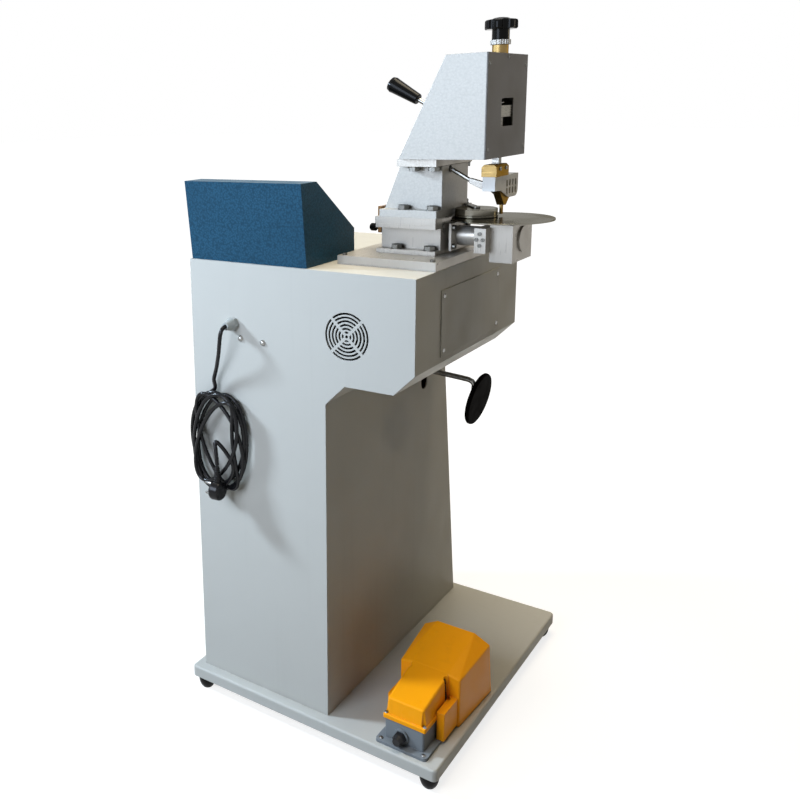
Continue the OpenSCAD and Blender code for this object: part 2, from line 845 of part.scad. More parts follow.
module dial(x) {
  // Fluted knob with a pointer ridge, on a shaft through the panel
  on_panel() translate([x, dial_y, panel_t + gap]) {
    difference() {
      cylinder(d1 = dial_d, d2 = dial_d * 0.88, h = dial_h);
      for (a = [0 : 30 : 330]) if (a != 90) rotate([0, 0, a])
        translate([dial_d / 2 + 0.4, 0, 2]) cylinder(d = 3, h = dial_h, $fn = 20);
    }
    translate([-1, dial_d * 0.12, dial_h - 0.5]) cube([2, dial_d * 0.3, 1.5]);
    translate([0, 0, -panel_t - gap - 10]) cylinder(d = 6, h = panel_t + gap + 10.5);
  }
}

module temperature_knob() { color([0.07, 0.07, 0.07]) dial(dial1_x); }

module speed_knob() { color([0.07, 0.07, 0.07]) dial(dial2_x); }

module switch_bezel() {
  // Frame of the mains switch, with the pivot pin of the rocker
  color([0.06, 0.06, 0.06]) on_panel() translate([0, rocker_y, 0]) {
    difference() {
      union() {
        translate([-rocker_l / 2 - 2, -rocker_w / 2 - 2, panel_t])
          cube([rocker_l + 4, rocker_w + 4, 2.5]);
        translate([-rocker_l / 2 + slip, -rocker_w / 2 + slip, -14])
          cube([rocker_l - 2 * slip, rocker_w - 2 * slip, 14 + panel_t]);
      }
      translate([-rocker_l / 2 + 2, -rocker_w / 2 + 2, -12])
        cube([rocker_l - 4, rocker_w - 4, 30]);
    }
    along_y(-rocker_w / 2 + 1, rocker_w / 2 - 1, 0, rocker_z, 3);
  }
}

module power_rocker() {
  // Rocker that tips about its pin, with a raised mark at each end
  r = rocker_l / 2 - 2 - gap;
  color([0.62, 0.07, 0.05]) on_panel() translate([0, rocker_y, 0]) difference() {
    translate([0, rocker_w / 2 - 2 - gap, 0]) rotate([90, 0, 0])
      linear_extrude(rocker_w - 4 - 2 * gap) difference() {
        intersection() {
          translate([0, rocker_z]) circle(r);
          polygon([[-r, rocker_z - 3], [r, rocker_z - 3], [r, panel_t + 6], [0, panel_t + 3.2],
            [-r, panel_t + 3.2]]);
        }
        translate([0, rocker_z]) circle(d = 3 + 2 * slip);
      }
  }
}

// Bed plate, riser block and cross slide
module bed_plate() {
  color([0.74, 0.75, 0.76])
    block(bed_l, bed_r, work_y - bed_d / 2, work_y + bed_d / 2, cab_top, bed_top);
}

module riser_block() {
  // Foot flange and block, bored for the drive shaft, with a pocket for its motor
  color([0.76, 0.77, 0.78]) difference() {
    union() {
      block(riser_l, riser_r, work_y - flange_d / 2, work_y + flange_d / 2,
        bed_top, bed_top + riser_flange);
      block(riser_l, riser_r, work_y - riser_d / 2, work_y + riser_d / 2,
        bed_top, riser_top);
    }
    along_x(riser_l - 1, riser_l + 40, work_y, shaft_h, shaft_d + 2);
    along_x(riser_l + 17, riser_r - 24, work_y, shaft_h, motor_d + 2 * gap);
    block(riser_l + 17, riser_r - 24, work_y - motor_d / 2 - gap, work_y + motor_d / 2 + gap,
      bed_top - 1, shaft_h);
    along_x(riser_r - 18, riser_r + 1, work_y - adj_y, adj_z, adj_screw_d + 2 * slip);
  }
}

module bed_fasteners() {
  // Flange bolts of the riser, socket screws of the bearing flange and the clamp
  color([0.55, 0.56, 0.57]) {
    for (x = [riser_l + hex_inset - 4, riser_r - hex_inset - 14], s = [-1, 1])
      translate([x, work_y + s * (riser_d + flange_d) / 4, bed_top + riser_flange]) hex_bolt();
    for (x = [bed_l + 9, bed_r - 9], s = [-1, 1])
      translate([x, work_y + s * (bed_d / 2 - 9), bed_top]) socket_head(8, 3);
  }
  color([0.05, 0.05, 0.05]) {
    for (sy = [-1, 1], sz = [-1, 1])
      translate([plate_l, work_y + sy * (plate_d / 2 - 7), shaft_h + sz * (plate_h / 2 - 7)])
        rotate([0, -90, 0]) socket_head(9, 5);
    for (p = [[-5, 0], [5, 0], [0, -9], [0, 9]])
      translate([(clamp_l + clamp_r) / 2 + p[0], clamp_back, shaft_h + 3 + p[1]])
        rotate([-90, 0, 0]) socket_head(6, 1.6);
  }
}

module slide_base() {
  // Fixed half of the cross slide, with the rib that guides the other half
  color([0.80, 0.81, 0.82]) {
    block(riser_l, riser_r + 1, work_y - flange_d / 2, work_y + flange_d / 2,
      riser_top, slide_z);
    block(riser_l + 14, riser_r + 1, work_y - rib_w / 2, work_y + rib_w / 2,
      slide_z - eps, slide_z + rib_h);
  }
}

module slide_plate() {
  color([0.80, 0.81, 0.82]) difference() {
    block(riser_l, slide_r, work_y - flange_d / 2, work_y + flange_d / 2,
      slide_z + slip, slide_top);
    block(riser_l - 1, slide_r + 1, work_y - rib_w / 2 - slip, work_y + rib_w / 2 + slip,
      slide_z - 1, slide_z + rib_h + slip);
  }
}

module adjuster_bracket() {
  // Upright plate on the end of the upper slide, which holds the adjusting screw
  color([0.48, 0.33, 0.14]) difference() {
    block(slide_r, slide_r + adj_t, work_y - adj_w / 2, work_y + adj_w / 2,
      adj_z - 8, slide_top + 14);
    along_x(slide_r - 1, slide_r + adj_t + 1, work_y - adj_y, adj_z, adj_screw_d + 2 * slip);
  }
}

module adjuster_screw() {
  // Screw with a small round knob, and a collar each side of its bracket
  color([0.05, 0.05, 0.05]) translate([0, work_y - adj_y, adj_z]) rotate([0, 90, 0]) {
    translate([0, 0, slide_r + adj_t + gap]) cylinder(d = 7, h = 6);
    translate([0, 0, slide_r + adj_t + gap + 5]) rotate_extrude()
      polygon([[0, 0], [5, 0], [6.5, 1.5], [6.5, 9], [5, 11], [0, 11]]);
    translate([0, 0, riser_r - 14]) cylinder(d = adj_screw_d, h = slide_r + adj_t + 14 - riser_r + 4);
  }
}

// Neck and head mounting plate
module neck() {
  color([0.73, 0.74, 0.76]) difference() {
    union() {
      block(neck_l, neck_l + neck_w, work_y - flange_d / 2, work_y + flange_d / 2,
        slide_top, neck_foot);
      translate([0, work_y + neck_d / 2, 0]) rotate([90, 0, 0]) linear_extrude(neck_d)
        polygon([[neck_l, neck_foot - 1], [neck_l + neck_w, neck_foot - 1],
          [neck_l + neck_w, neck_foot], [neck_l + neck_top_w, neck_top], [neck_l, neck_top]]);
    }
    // wire hole of the heater lead
    along_x(neck_l - 1, neck_l + 20, work_y + 20, head_z - 18, 12);
  }
}

module head_mount_plate() {
  color([0.76, 0.77, 0.78])
    block(mount_l, mount_r, work_y - flange_d / 2, work_y + flange_d / 2, neck_top, head_z);
}

module head_fasteners() {
  // Flange bolts of the neck and the mounting plate, screws of the head's front cover
  color([0.55, 0.56, 0.57]) {
    for (x = [neck_l + hex_inset - 7, neck_l + neck_w - hex_inset - 20], s = [-1, 1])
      translate([x, work_y + s * (neck_d + flange_d) / 4, neck_foot]) hex_bolt();
    for (x = [mount_l + 8, mount_r - 26], s = [-1, 1])
      translate([x, work_y + s * (neck_d + flange_d) / 4, neck_top]) rotate([180, 0, 0])
        hex_bolt();
    for (p = [[-1, 138], [1, 138], [0, 149], [-1, 14], [1, 14]])
      translate([head_l, work_y + p[0] * (head_d / 2 - 8), head_z + p[1]])
        rotate([0, -90, 0]) dome_head(6, 1.6);
  }
}

// Head casing
module head_profile(t) {
  offset(delta = -t) polygon([[head_shell_l, 0], [head_foot_r, 0], [head_top_r, head_h],
    [head_shell_l, head_h]]);
}

module head_shell() {
  // Folded casing, open to the front under its cover
  color([0.66, 0.68, 0.71]) difference() {
    translate([0, work_y + head_d / 2, head_z]) rotate([90, 0, 0])
      linear_extrude(head_d) head_profile(0);
    translate([0, work_y + head_d / 2 - head_wall, head_z]) rotate([90, 0, 0])
      linear_extrude(head_d - 2 * head_wall) union() {
        head_profile(head_wall);
        translate([head_shell_l - 5, head_wall]) square([20, head_h - 2 * head_wall]);
      }
    // spindle guide below, bush above
    translate([spindle_x, work_y, head_z - 1]) cylinder(d = guide_d + 2 * slip, h = head_wall + 2);
    translate([spindle_x, work_y, head_top_z - head_wall - 1])
      cylinder(d = bush_d - 4 + 2 * slip, h = head_wall + 2);
    // slot of the lift lever
    translate([lever_x, work_y, lever_h]) rotate([0, -lever_tilt, 0])
      block(10, 60, -lever_d / 2 - 2, lever_d / 2 + 2, -lever_d / 2 - 10, lever_d / 2 + 5);
  }
}

module head_cover() {
  color([0.30, 0.30, 0.30]) difference() {
    block(head_l, head_shell_l, work_y - head_d / 2, work_y + head_d / 2, head_z, head_top_z);
    block(head_l - 1, head_shell_l + 1, work_y - window_w / 2, work_y + window_w / 2,
      head_z + window_z, head_z + window_z + window_h);
  }
}

// Spindle, its guide and the pressure screw
module at_spindle(z) {
  translate([spindle_x, work_y, z]) children();
}

module spindle_guide() {
  // Round guide with a square bore, standing in the floor of the head
  color([0.62, 0.48, 0.22]) difference() {
    at_spindle(head_z) {
      cylinder(d = guide_d, h = head_wall + 24);
      translate([0, 0, head_wall]) cylinder(d = guide_d + 3, h = 4);
    }
    at_spindle(head_z - 1) translate([0, 0, 20]) cube([spindle_w + 2 * slide_play,
      spindle_w + 2 * slide_play, 80], center = true);
  }
}

module brass_bush() {
  // Threaded bush in the roof of the head
  color([0.72, 0.53, 0.22]) difference() {
    union() {
      at_spindle(head_top_z) cylinder(d = bush_d, h = bush_h);
      at_spindle(head_top_z - head_wall - 6) cylinder(d = bush_d - 4, h = head_wall + 7);
    }
    at_spindle(head_top_z - 30) cylinder(d = screw_m + 2 * slip, h = 80);
  }
}

module lock_ring() {
  // Knurled lock ring
  color([0.12, 0.12, 0.12]) at_spindle(bush_top + gap) difference() {
    cylinder(d = ring_d, h = ring_h);
    translate([0, 0, -1]) cylinder(d = screw_m + 2 * slip, h = ring_h + 2);
    for (a = [0 : 15 : 345]) rotate([0, 0, a]) translate([ring_d / 2 + 0.5, 0, -1])
      cylinder(d = 2.6, h = ring_h + 2, $fn = 12);
  }
}

module star_knob() {
  // Lobed hand knob with a neck, rounded edges and a low dome on top
  c = 1.8;
  color([0.05, 0.05, 0.05]) at_spindle(knob_base) difference() {
    union() {
      cylinder(d = knob_neck_d, h = knob_neck_h + 1);
      translate([0, 0, knob_neck_h]) intersection() {
        linear_extrude(knob_h + 4) knob_outline();
        rotate_extrude($fn = 64) polygon([[0, 0], [knob_d / 2 - c, 0], [knob_d / 2, c],
          [knob_d / 2, knob_h - 2 * c], [knob_d / 2 - c / 2, knob_h - c / 2],
          [knob_d / 2 - 2 * c, knob_h], [knob_d * 0.3, knob_h + 0.4], [knob_d * 0.22, knob_h + 2.4],
          [knob_d * 0.1, knob_h + 3.4], [0, knob_h + 3.5]]);
      }
    }
    translate([0, 0, -1]) cylinder(d = screw_m, h = knob_neck_h + 8);
  }
}

module knob_outline() {
  offset(r = 2.2) offset(delta = -2.2) difference() {
    circle(d = knob_d);
    for (i = [0 : knob_lobes - 1]) rotate([0, 0, (i + 0.5) * 360 / knob_lobes])
      translate([knob_d / 2 + 4, 0]) circle(d = knob_d * 0.33, $fn = 32);
  }
}

module pressure_screw() {
  // Screw from the star knob down through the bush to the seat of the spring
  color([0.62, 0.62, 0.63]) {
    at_spindle(seat_z) cylinder(d = screw_m, h = knob_base + knob_neck_h + 7 - seat_z);
    at_spindle(seat_z) cylinder(d = spring_d + 4, h = seat_h);
  }
}

module pressure_spring() {
  // Round-wire spring between the lifting block and the screw's seat
  n = 6.5;
  z0 = lift_top + spring_wire / 2 + 0.3;
  z1 = seat_z - spring_wire / 2 - 0.3;
  steps = round(n * 20);
  path = [for (i = [0 : steps]) let (a = i * 360 / 20)
    [spring_d / 2 * cos(a), spring_d / 2 * sin(a), z0 + (z1 - z0) * i / steps]];
  color([0.66, 0.66, 0.68]) at_spindle(0) tube_sweep(path, spring_wire, 8, [0, 0, 1]);
}

module spindle() {
  // Square bar, lifting block and the round stem inside the spring
  color([0.70, 0.70, 0.71]) {
    at_spindle(heat_top) translate([-spindle_w / 2, -spindle_w / 2, 0])
      cube([spindle_w, spindle_w, lift_bottom - heat_top + 1]);
    at_spindle(lift_bottom) translate([-lift_t / 2, -lift_w / 2, 0]) cube([lift_t, lift_w, lift_h]);
    at_spindle(lift_top - 1) cylinder(d = stem_d, h = seat_z - lift_top + 1 - 11);
  }
}

// Lift lever
module lever_place() {
  translate([lever_x, work_y, lever_h]) children();
}

module lever_bracket() {
  // Two cheeks on the floor of the head, bored for the lever's pin
  color([0.60, 0.61, 0.62]) difference() {
    union() {
      block(lever_x - 11, lever_x + 11, work_y - 19, work_y + 19, head_z + head_wall,
        head_z + head_wall + 3);
      for (s = [-1, 1]) translate([0, s * 15.5, 0])
        block(lever_x - 9, lever_x + 9, work_y - 2.5, work_y + 2.5, head_z + head_wall + 2,
          lever_h + 9);
    }
    along_y(work_y - 30, work_y + 30, lever_x, lever_h, lever_pin + 2 * slip);
  }
}

module lift_lever() {
  // Hub and pin, outer rod to the grip and inner arm with the lifting nose
  color([0.68, 0.68, 0.70]) lever_place() {
    along_y(-22, 22, 0, 0, lever_pin);
    along_y(-12.7, 12.7, 0, 0, 16);
    rotate([0, 90 - lever_tilt, 0]) cylinder(d = lever_d, h = grip_from + 12);
    along_y(-8, 8, -nose_r, nose_z, 8);
    rotate([90, 0, 0]) linear_extrude(9, center = true)
      polygon([[0, -6.5], [0, 6.5], [-nose_r, nose_z + 3.6], [-nose_r, nose_z - 3.6]]);
  }
}

module lever_grip() {
  // Tapered black grip on the lever's outer end
  color([0.05, 0.05, 0.05]) lever_place() rotate([0, 90 - lever_tilt, 0])
    translate([0, 0, grip_from]) difference() {
      rotate_extrude() polygon(grip_points);
      translate([0, 0, -1]) cylinder(d = lever_d, h = 14);
    }
}

// Heater, guard, bit and lead
module heater_block() {
  // Chamfered block on the foot of the spindle
  c = 4;
  w = heat_w / 2;
  color([0.62, 0.45, 0.20]) at_spindle(0) translate([0, heat_back, 0]) rotate([90, 0, 0])
    linear_extrude(heat_d) polygon([[-w, heat_top - heat_h], [w, heat_top - heat_h],
      [w, heat_top - c], [w - c, heat_top], [c - w, heat_top], [-w, heat_top - c]]);
}

module heater_screws() {
  color([0.55, 0.55, 0.56]) for (y = [14, 38], z = [heat_h * 0.66])
    at_spindle(heat_top - heat_h + z) translate([-heat_w / 2, heat_back - y, 0])
      rotate([0, -90, 0]) socket_head(6, 1.6);
}

module guard_profile(t) {
  // Side view: y counts forward, z counts up from the guard's upper face
  r = 12;
  offset(delta = -t) hull() {
    translate([guard_d * 0.25, -guard_h]) square([guard_d * 0.75, guard_h]);
    translate([guard_d - r, r - guard_h - guard_drop]) circle(r, $fn = 32);
    translate([guard_d * 0.6, -guard_h - guard_drop]) square(1);
  }
  offset(delta = -t) translate([0, -guard_h]) square([guard_d, guard_h]);
}

module guard_extrusion(w, t) {
  at_spindle(guard_top) translate([w / 2, guard_back, 0]) rotate([90, 0, -90])
    linear_extrude(w) guard_profile(t);
}

module heater_guard() {
  // Slotted cover round the heater, open below and where the bit's stem enters
  color([0.86, 0.86, 0.84]) difference() {
    guard_extrusion(guard_w, 0);
    guard_extrusion(guard_w - 2 * guard_wall, guard_wall);
    at_spindle(guard_top - guard_h) translate([-guard_w / 2 + guard_wall,
      bit_y - work_y - bit_w / 2 - 2, -guard_drop - 1])
      cube([guard_w - 2 * guard_wall, bit_w + 4, guard_drop + 8]);
    at_spindle(guard_top) translate([-bit_t / 2 - 0.5, bit_y - work_y - 1, -5])
      cube([bit_t + 1, 32, 10]);
    for (i = [0 : 3], row = slot_rows) at_spindle(guard_top)
      translate([-guard_w / 2 - 1, guard_back - guard_d + slot_end + i * slot_pitch, 0])
        rotate([0, 90, 0]) linear_extrude(guard_w + 2) hull() for (z = row)
          translate([-z, 0]) circle(d = slot_t, $fn = 24);
  }
}

module heating_bit() {
  // Wedge with a narrow tip, on a stem that goes up to the heater block
  top = guard_top - guard_h + 3;
  bottom = disc_top + bit_gap + tip_l;
  color([0.70, 0.50, 0.20]) at_spindle(0) {
    translate([bit_t / 2 - 1, bit_y - work_y, 0]) rotate([90, 0, -90]) linear_extrude(bit_t - 2)
      polygon([[-bit_w / 2, top], [bit_w / 2, top], [bit_w / 2, top - 12],
        [4, bottom], [-4, bottom], [-bit_w / 2, top - 5]]);
    translate([-bit_t / 2, bit_y - work_y, top - 1])
      cube([bit_t, 30, guard_top - top + 1]);
    translate([-1.75, bit_y - work_y - 3.5, disc_top + bit_gap]) cube([3.5, 7, tip_l + 1]);
  }
}

module heater_lead() {
  // Braided lead from the neck down to the clip beside the guard
  x = spindle_x + guard_w / 2 + gap;
  color([0.60, 0.61, 0.62]) translate([0, work_y + 20, 0]) {
    tube_sweep([[neck_l + 14, 0, head_z - 18], [neck_l + 2, 0, head_z - 18],
      [neck_l - 4, 0, head_z - 19.5], [neck_l - 18, 0, head_z - 27],
      [neck_l - 36, 0, head_z - 37]], 7, 12, [0, 1, 0]);
    translate([0, 5, 0]) rotate([90, 0, 0]) linear_extrude(10)
      polygon([[neck_l - 34, head_z - 32], [neck_l - 34, head_z - 40], [x, head_z - 50],
        [x, head_z - 38]]);
  }
}

// Disc, its shaft, the gearbox and the drive
module bevel_gear() {
  // Straight bevel gear of a right-angle pair; the apex of its cone is at z = 0
  translate([0, 0, gear_r - gear_face]) mirror([0, 0, 1]) translate([0, 0, -gear_face])
    linear_extrude(gear_face, scale = 1 - gear_face / gear_r) union() {
      circle(r = gear_r - 1);
      for (i = [0 : gear_n - 1]) rotate([0, 0, i * 360 / gear_n]) polygon([
        [gear_r - 1.5, -0.75], [gear_r + 0.8, -0.35], [gear_r + 0.8, 0.35], [gear_r - 1.5, 0.75]]);
    }
}

module turntable_disc() {
  // Polished disc with a round hub plate
  color([0.74, 0.76, 0.78]) translate([disc_x, disc_y, 0]) difference() {
    translate([0, 0, disc_bottom]) cylinder(d = disc_d, h = disc_t, $fn = 180);
    translate([0, 0, disc_top - 0.8]) cylinder(d = 5, h = 2);
  }
}

module disc_shaft() {
  color([0.60, 0.61, 0.62]) translate([disc_x, disc_y, 0]) {
    translate([0, 0, shaft_h + shaft_d / 2 + 1.5])
      cylinder(d = 8, h = disc_bottom - shaft_h - shaft_d / 2 - 1.5);
    translate([0, 0, shaft_h]) bevel_gear();
    translate([0, 0, shaft_h + gear_r - 0.5]) cylinder(d = 14, h = 4);
    translate([0, 0, box_top + gap]) cylinder(d = 20, h = disc_bottom - box_top - gap);
  }
}

module gearbox_housing() {
  // Gearbox with a split clamp on its right, which grips the bearing tube
  color([0.66, 0.67, 0.68]) difference() {
    union() {
      block(box_l, box_r, disc_y - box_d / 2, disc_y + box_d / 2, box_z, box_top);
      block(clamp_l - 1, clamp_r, clamp_front, clamp_back, clamp_z, clamp_top);
    }
    block(box_l + box_wall, cavity_r, disc_y - 16, disc_y + 16,
      shaft_h - 17, box_top - box_wall);
    along_x(cavity_r - 1, clamp_r + 1, work_y, shaft_h, tube_d);
    block(cavity_r - 1, clamp_r + 1, work_y - 1, work_y + 1, clamp_z - 1, shaft_h);
    along_x(box_l - 1, box_l + box_wall + 1, work_y, shaft_h, cap_d - 10);
    translate([disc_x, disc_y, box_top - box_wall - 1]) cylinder(d = 8 + 2 * slip, h = box_wall + 2);
  }
}

module gearbox_cap() {
  // Round cap with the end bearing of the drive shaft
  color([0.62, 0.63, 0.64]) difference() {
    union() {
      along_x(box_l - 3, box_l, work_y, shaft_h, cap_d);
      along_x(box_l - 1, box_l + box_wall, work_y, shaft_h, cap_d - 10);
    }
    along_x(box_l - 1, box_l + box_wall + 1, work_y, shaft_h, shaft_d + 2 * slip);
  }
}

module bearing_flange() {
  // Flange on the riser with the tube that carries shaft and gearbox
  color([0.78, 0.79, 0.80]) difference() {
    union() {
      block(plate_l, plate_r, work_y - plate_d / 2, work_y + plate_d / 2,
        shaft_h - plate_h / 2, shaft_h + plate_h / 2);
      along_x(plate_r - 1, riser_l, work_y, shaft_h, 40);
      along_x(cavity_r, plate_l + 1, work_y, shaft_h, tube_d);
    }
    along_x(cavity_r - 1, riser_l + 1, work_y, shaft_h, shaft_d + 2 * slip);
  }
}

module drive_shaft() {
  color([0.60, 0.61, 0.62]) {
    along_x(box_l + 1, motor_l + 12, work_y, shaft_h, shaft_d);
    translate([disc_x, work_y, shaft_h]) rotate([0, -90, 0])
      rotate([0, 0, 180 / gear_n]) bevel_gear();
    along_x(disc_x - gear_r - 3, disc_x - gear_r + 0.5, work_y, shaft_h, 16);
  }
}

module drive_motor() {
  // Gear motor with a hollow output, on a cradle that stands on the bed plate
  color([0.20, 0.21, 0.22]) difference() {
    union() {
      along_x(motor_l, motor_r, work_y, shaft_h, motor_d);
      block(motor_l + 6, motor_r - 6, work_y - 8, work_y + 8, bed_top, shaft_h);
    }
    along_x(motor_l - 1, motor_l + 14, work_y, shaft_h, shaft_d + 2 * slip);
  }
}

module guide_roller() {
  // Two-tier roller with a groove round its middle
  color([0.78, 0.79, 0.80]) translate([roll_x, roll_y, roll_z]) difference() {
    rotate_extrude($fn = 120) polygon([[4 + slip, 0], [roller_d / 2 - 0.5, 0],
      [roller_d / 2, 0.5], [roller_d / 2, groove_z - 0.7], [roller_d / 2 - 1.5, groove_z - 0.4],
      [roller_d / 2 - 1.5, groove_z + 0.4], [roller_d / 2 - 0.5, groove_z + 0.7],
      [roller_d / 2 - 0.5, roller_h - 0.5], [roller_d / 2 - 1, roller_h], [4 + slip, roller_h]]);
  }
}

module guide_bracket() {
  // Leg on the riser, with a flat arm over the roller and the roller's pin
  z = roll_z + roller_h + gap;
  arm_t = 1.8;
  leg = riser_l - 2.5;
  leg_y = work_y - 42;
  color([0.06, 0.06, 0.06]) {
    block(leg - 3, leg, leg_y - 7, leg_y + 7, shaft_h - 16, z + arm_t);
    block(leg - 1, riser_l, leg_y - 7, leg_y + 7, shaft_h - 16, riser_top - 1);
    translate([0, 0, z]) linear_extrude(arm_t) hull() {
      translate([roll_x, roll_y]) circle(6, $fn = 32);
      translate([leg - 3, leg_y - 7]) square([3, 14]);
    }
    translate([roll_x, roll_y, roll_z + 0.5]) cylinder(d = 8, h = z + 1 - roll_z);
  }
}

// Knee lever
module knee_lever() {
  // Hub on its pin, and a bent rod that comes out through the slot
  color([0.68, 0.68, 0.70]) translate([0, knee_y0, 0]) {
    along_y(-22, 22, knee_pivot_x, knee_pivot_z, knee_pin);
    along_y(-16, 16, knee_pivot_x, knee_pivot_z, 26);
    tube_sweep([for (p = knee_path) [knee_end + p[0], 0, knee_h + p[1]]], rod_d, 20, [0, 1, 0]);
    translate([knee_end - 13, 0, knee_h - 41]) rotate([0, 90 - pad_lean, 0])
      cylinder(d = 26, h = 7);
  }
}

module knee_pad() {
  // Round pad with a rounded rim
  r = pad_d / 2;
  color([0.05, 0.05, 0.05])
    translate([knee_end - 13, knee_y0, knee_h - 41]) rotate([0, -90 - pad_lean, 0])
      rotate_extrude($fn = 96) polygon([[0, 0], [r - 2, 0], [r, 2], [r, pad_t - 2.5],
        [r - 0.8, pad_t - 0.8], [r - 2.5, pad_t], [0, pad_t]]);
}

module knee_bracket() {
  // Bearing bracket of the knee lever, inside on the wall beside the rod's slot
  color([0.60, 0.61, 0.62]) difference() {
    union() {
      block(col_l + cab_wall, col_l + cab_wall + 3, knee_y0 - 24, knee_y0 + 24,
        knee_h - 20, knee_pivot_z + 14);
      for (s = [-1, 1]) translate([0, s * 19.5, 0])
        block(col_l + cab_wall + 2, knee_pivot_x + 12, knee_y0 - 2.5, knee_y0 + 2.5,
          knee_pivot_z - 14, knee_pivot_z + 14);
    }
    along_y(knee_y0 - 30, knee_y0 + 30, knee_pivot_x, knee_pivot_z, knee_pin + 2 * slip);
    knee_slot();
  }
}

// Foot switch: y counts towards the operator from the back of the cabinet
module on_switch() {
  translate([sw_cx, back_y, base_top]) mirror([0, 1, 0]) children();
}

module ball_hull(points, r) {
  hull() for (p = points, s = [-1, 1])
    translate([s * p[0], p[1], p[2]]) sphere(r, $fn = 16);
}

module corner_hull(points) {
  hull() for (p = points, s = [-1, 1])
    translate([s * p[0] - 0.01, p[1] - 0.01, p[2] - 0.01]) cube(0.02);
}

module switch_base() {
  // Grey casting: flange, box and two ears for the pedal's pin
  w = sw_body_w;
  color([0.36, 0.38, 0.39]) on_switch() difference() {
    union() {
      translate([0, flange_y, 0]) rounded_block(sw_w, flange_l, flange_t, 6);
      translate([0, grey_y, 0]) rounded_block(w, grey_l, sw_body_h + 2, 3);
      for (s = [-1, 1]) translate([s * ear_x - 3, pivot_y - 10, flange_t - 1])
        cube([6, 20, pivot_z + 9 - flange_t]);
      translate([cord_x, grey_y - grey_l / 2 + 2, cord_z]) rotate([90, 0, 0])
        cylinder(d = 26, h = 6);
    }
    translate([0, grey_y, flange_t]) rounded_block(w - 7, grey_l - 7, sw_body_h, 2);
    translate([cord_x, 20, cord_z]) rotate([90, 0, 0]) cylinder(d = 15 + 2 * slip, h = 40);
    translate([-40, pivot_y, pivot_z]) rotate([0, 90, 0])
      cylinder(d = pedal_pin + 2 * slip, h = 80);
  }
}

module switch_cover() {
  // Cast cover: one sloping top plane from the box up to the mouth of the hood over the pedal
  w = sw_cover_w / 2;
  near = hood_w / 2;
  far = mouth_w / 2;
  r = 4;
  lip = sw_body_h;
  slope = (hood_h - sw_cover_h) / (mouth_y - 10);
  top_mid = sw_cover_h + slope * (hood_y - 10);
  color([0.93, 0.58, 0.05]) on_switch() difference() {
    union() {
      // lip on the grey box, and the box with its sloping top
      ball_hull([[w - 2, 5, lip + 2], [w - 2, hood_y, lip + 2], [w - 2, 5, lip + 7],
        [w - 2, hood_y, lip + 7]], 2);
      ball_hull([[w - 2 - r, 6 + r, lip + r], [w - 2 - r, hood_y + 6, lip + r],
        [w - 5 - r, 9 + r, sw_cover_h - r], [w - 3 - r, hood_y + 6, top_mid - r]], r);
      // hood, wider towards its mouth
      ball_hull([[near - r, hood_y + r, r], [near - r, hood_y + r, hood_side_h - r],
        [w - 1 - r, hood_y + r, top_mid - r], [far - r, mouth_y + 18 - r, r],
        [far - r, mouth_y + 4 - r, hood_side_h + 11 - r], [w - r, mouth_y - r, hood_h - r]], r);
      for (s = [-1, 1]) translate([s * (w + 6.5), hood_y - 26, 6]) rounded_block(14, 54, lip + 10, 2);
    }
    // foot of the hood, flat on the base plate
    translate([-100, 60, -50]) cube([200, 200, 50]);
    // inside of the box and of the hood
    corner_hull([[w - 4, 9, lip + 1], [w - 4, hood_y + 9, lip + 1],
      [w - 9, 16, sw_cover_h - 6], [w - 7, hood_y + 9, top_mid - 3]]);
    corner_hull([[near - hood_wall, hood_y + hood_wall, -1],
      [near - hood_wall, hood_y + hood_wall, hood_side_h - hood_wall],
      [w - 2, hood_y + hood_wall, top_mid - hood_wall], [far - hood_wall + 1, mouth_y + 50, -1],
      [far - hood_wall + 1, mouth_y + 36, hood_side_h + 10], [w, mouth_y + 36, hood_h + 2]]);
    translate([-sw_body_w / 2 - gap, 4 - gap, -1]) cube([sw_body_w + 2 * gap, 110, lip + 3]);
    translate([-sw_w / 2 - 0.5, -12, -1]) cube([sw_w + 1, 240, flange_t + 1.5]);
    // recesses for the cover's screws, at the corners of the box
    for (s = [-1, 1], y = [6, hood_y - 9])
      translate([s * (w - 2), y, lip + 9]) cylinder(d = 13, h = 60);
  }
}

module foot_pedal() {
  // Ribbed pedal plate on its pin
  hub = ear_x - 3 - gap;
  color([0.08, 0.08, 0.08]) on_switch() translate([0, pivot_y, pivot_z]) {
    rotate([0, 90, 0]) translate([0, 0, -ear_x - 3]) cylinder(d = pedal_pin, h = 2 * ear_x + 6);
    rotate([0, 90, 0]) translate([0, 0, -hub]) cylinder(d = 16, h = 2 * hub);
    rotate([9, 0, 0]) {
      translate([-hub, 0, -3]) cube([2 * hub, 20, 6]);
      translate([-pedal_w / 2, 14, -3]) cube([pedal_w, pedal_l, 6]);
      for (y = [22 : 10 : pedal_l + 4]) translate([-pedal_w / 2 + 4, y, 2.5])
        cube([pedal_w - 8, 4, 2]);
    }
  }
}

module switch_gland() {
  color([0.05, 0.05, 0.05]) on_switch() translate([cord_x, 0, cord_z]) rotate([90, 0, 0]) {
    translate([0, 0, -12]) cylinder(d = 15, h = 13);
    cylinder(d = 22, h = 9, $fn = 6);
    translate([0, 0, 9]) cylinder(d1 = 19, d2 = 13, h = 8);
  }
}

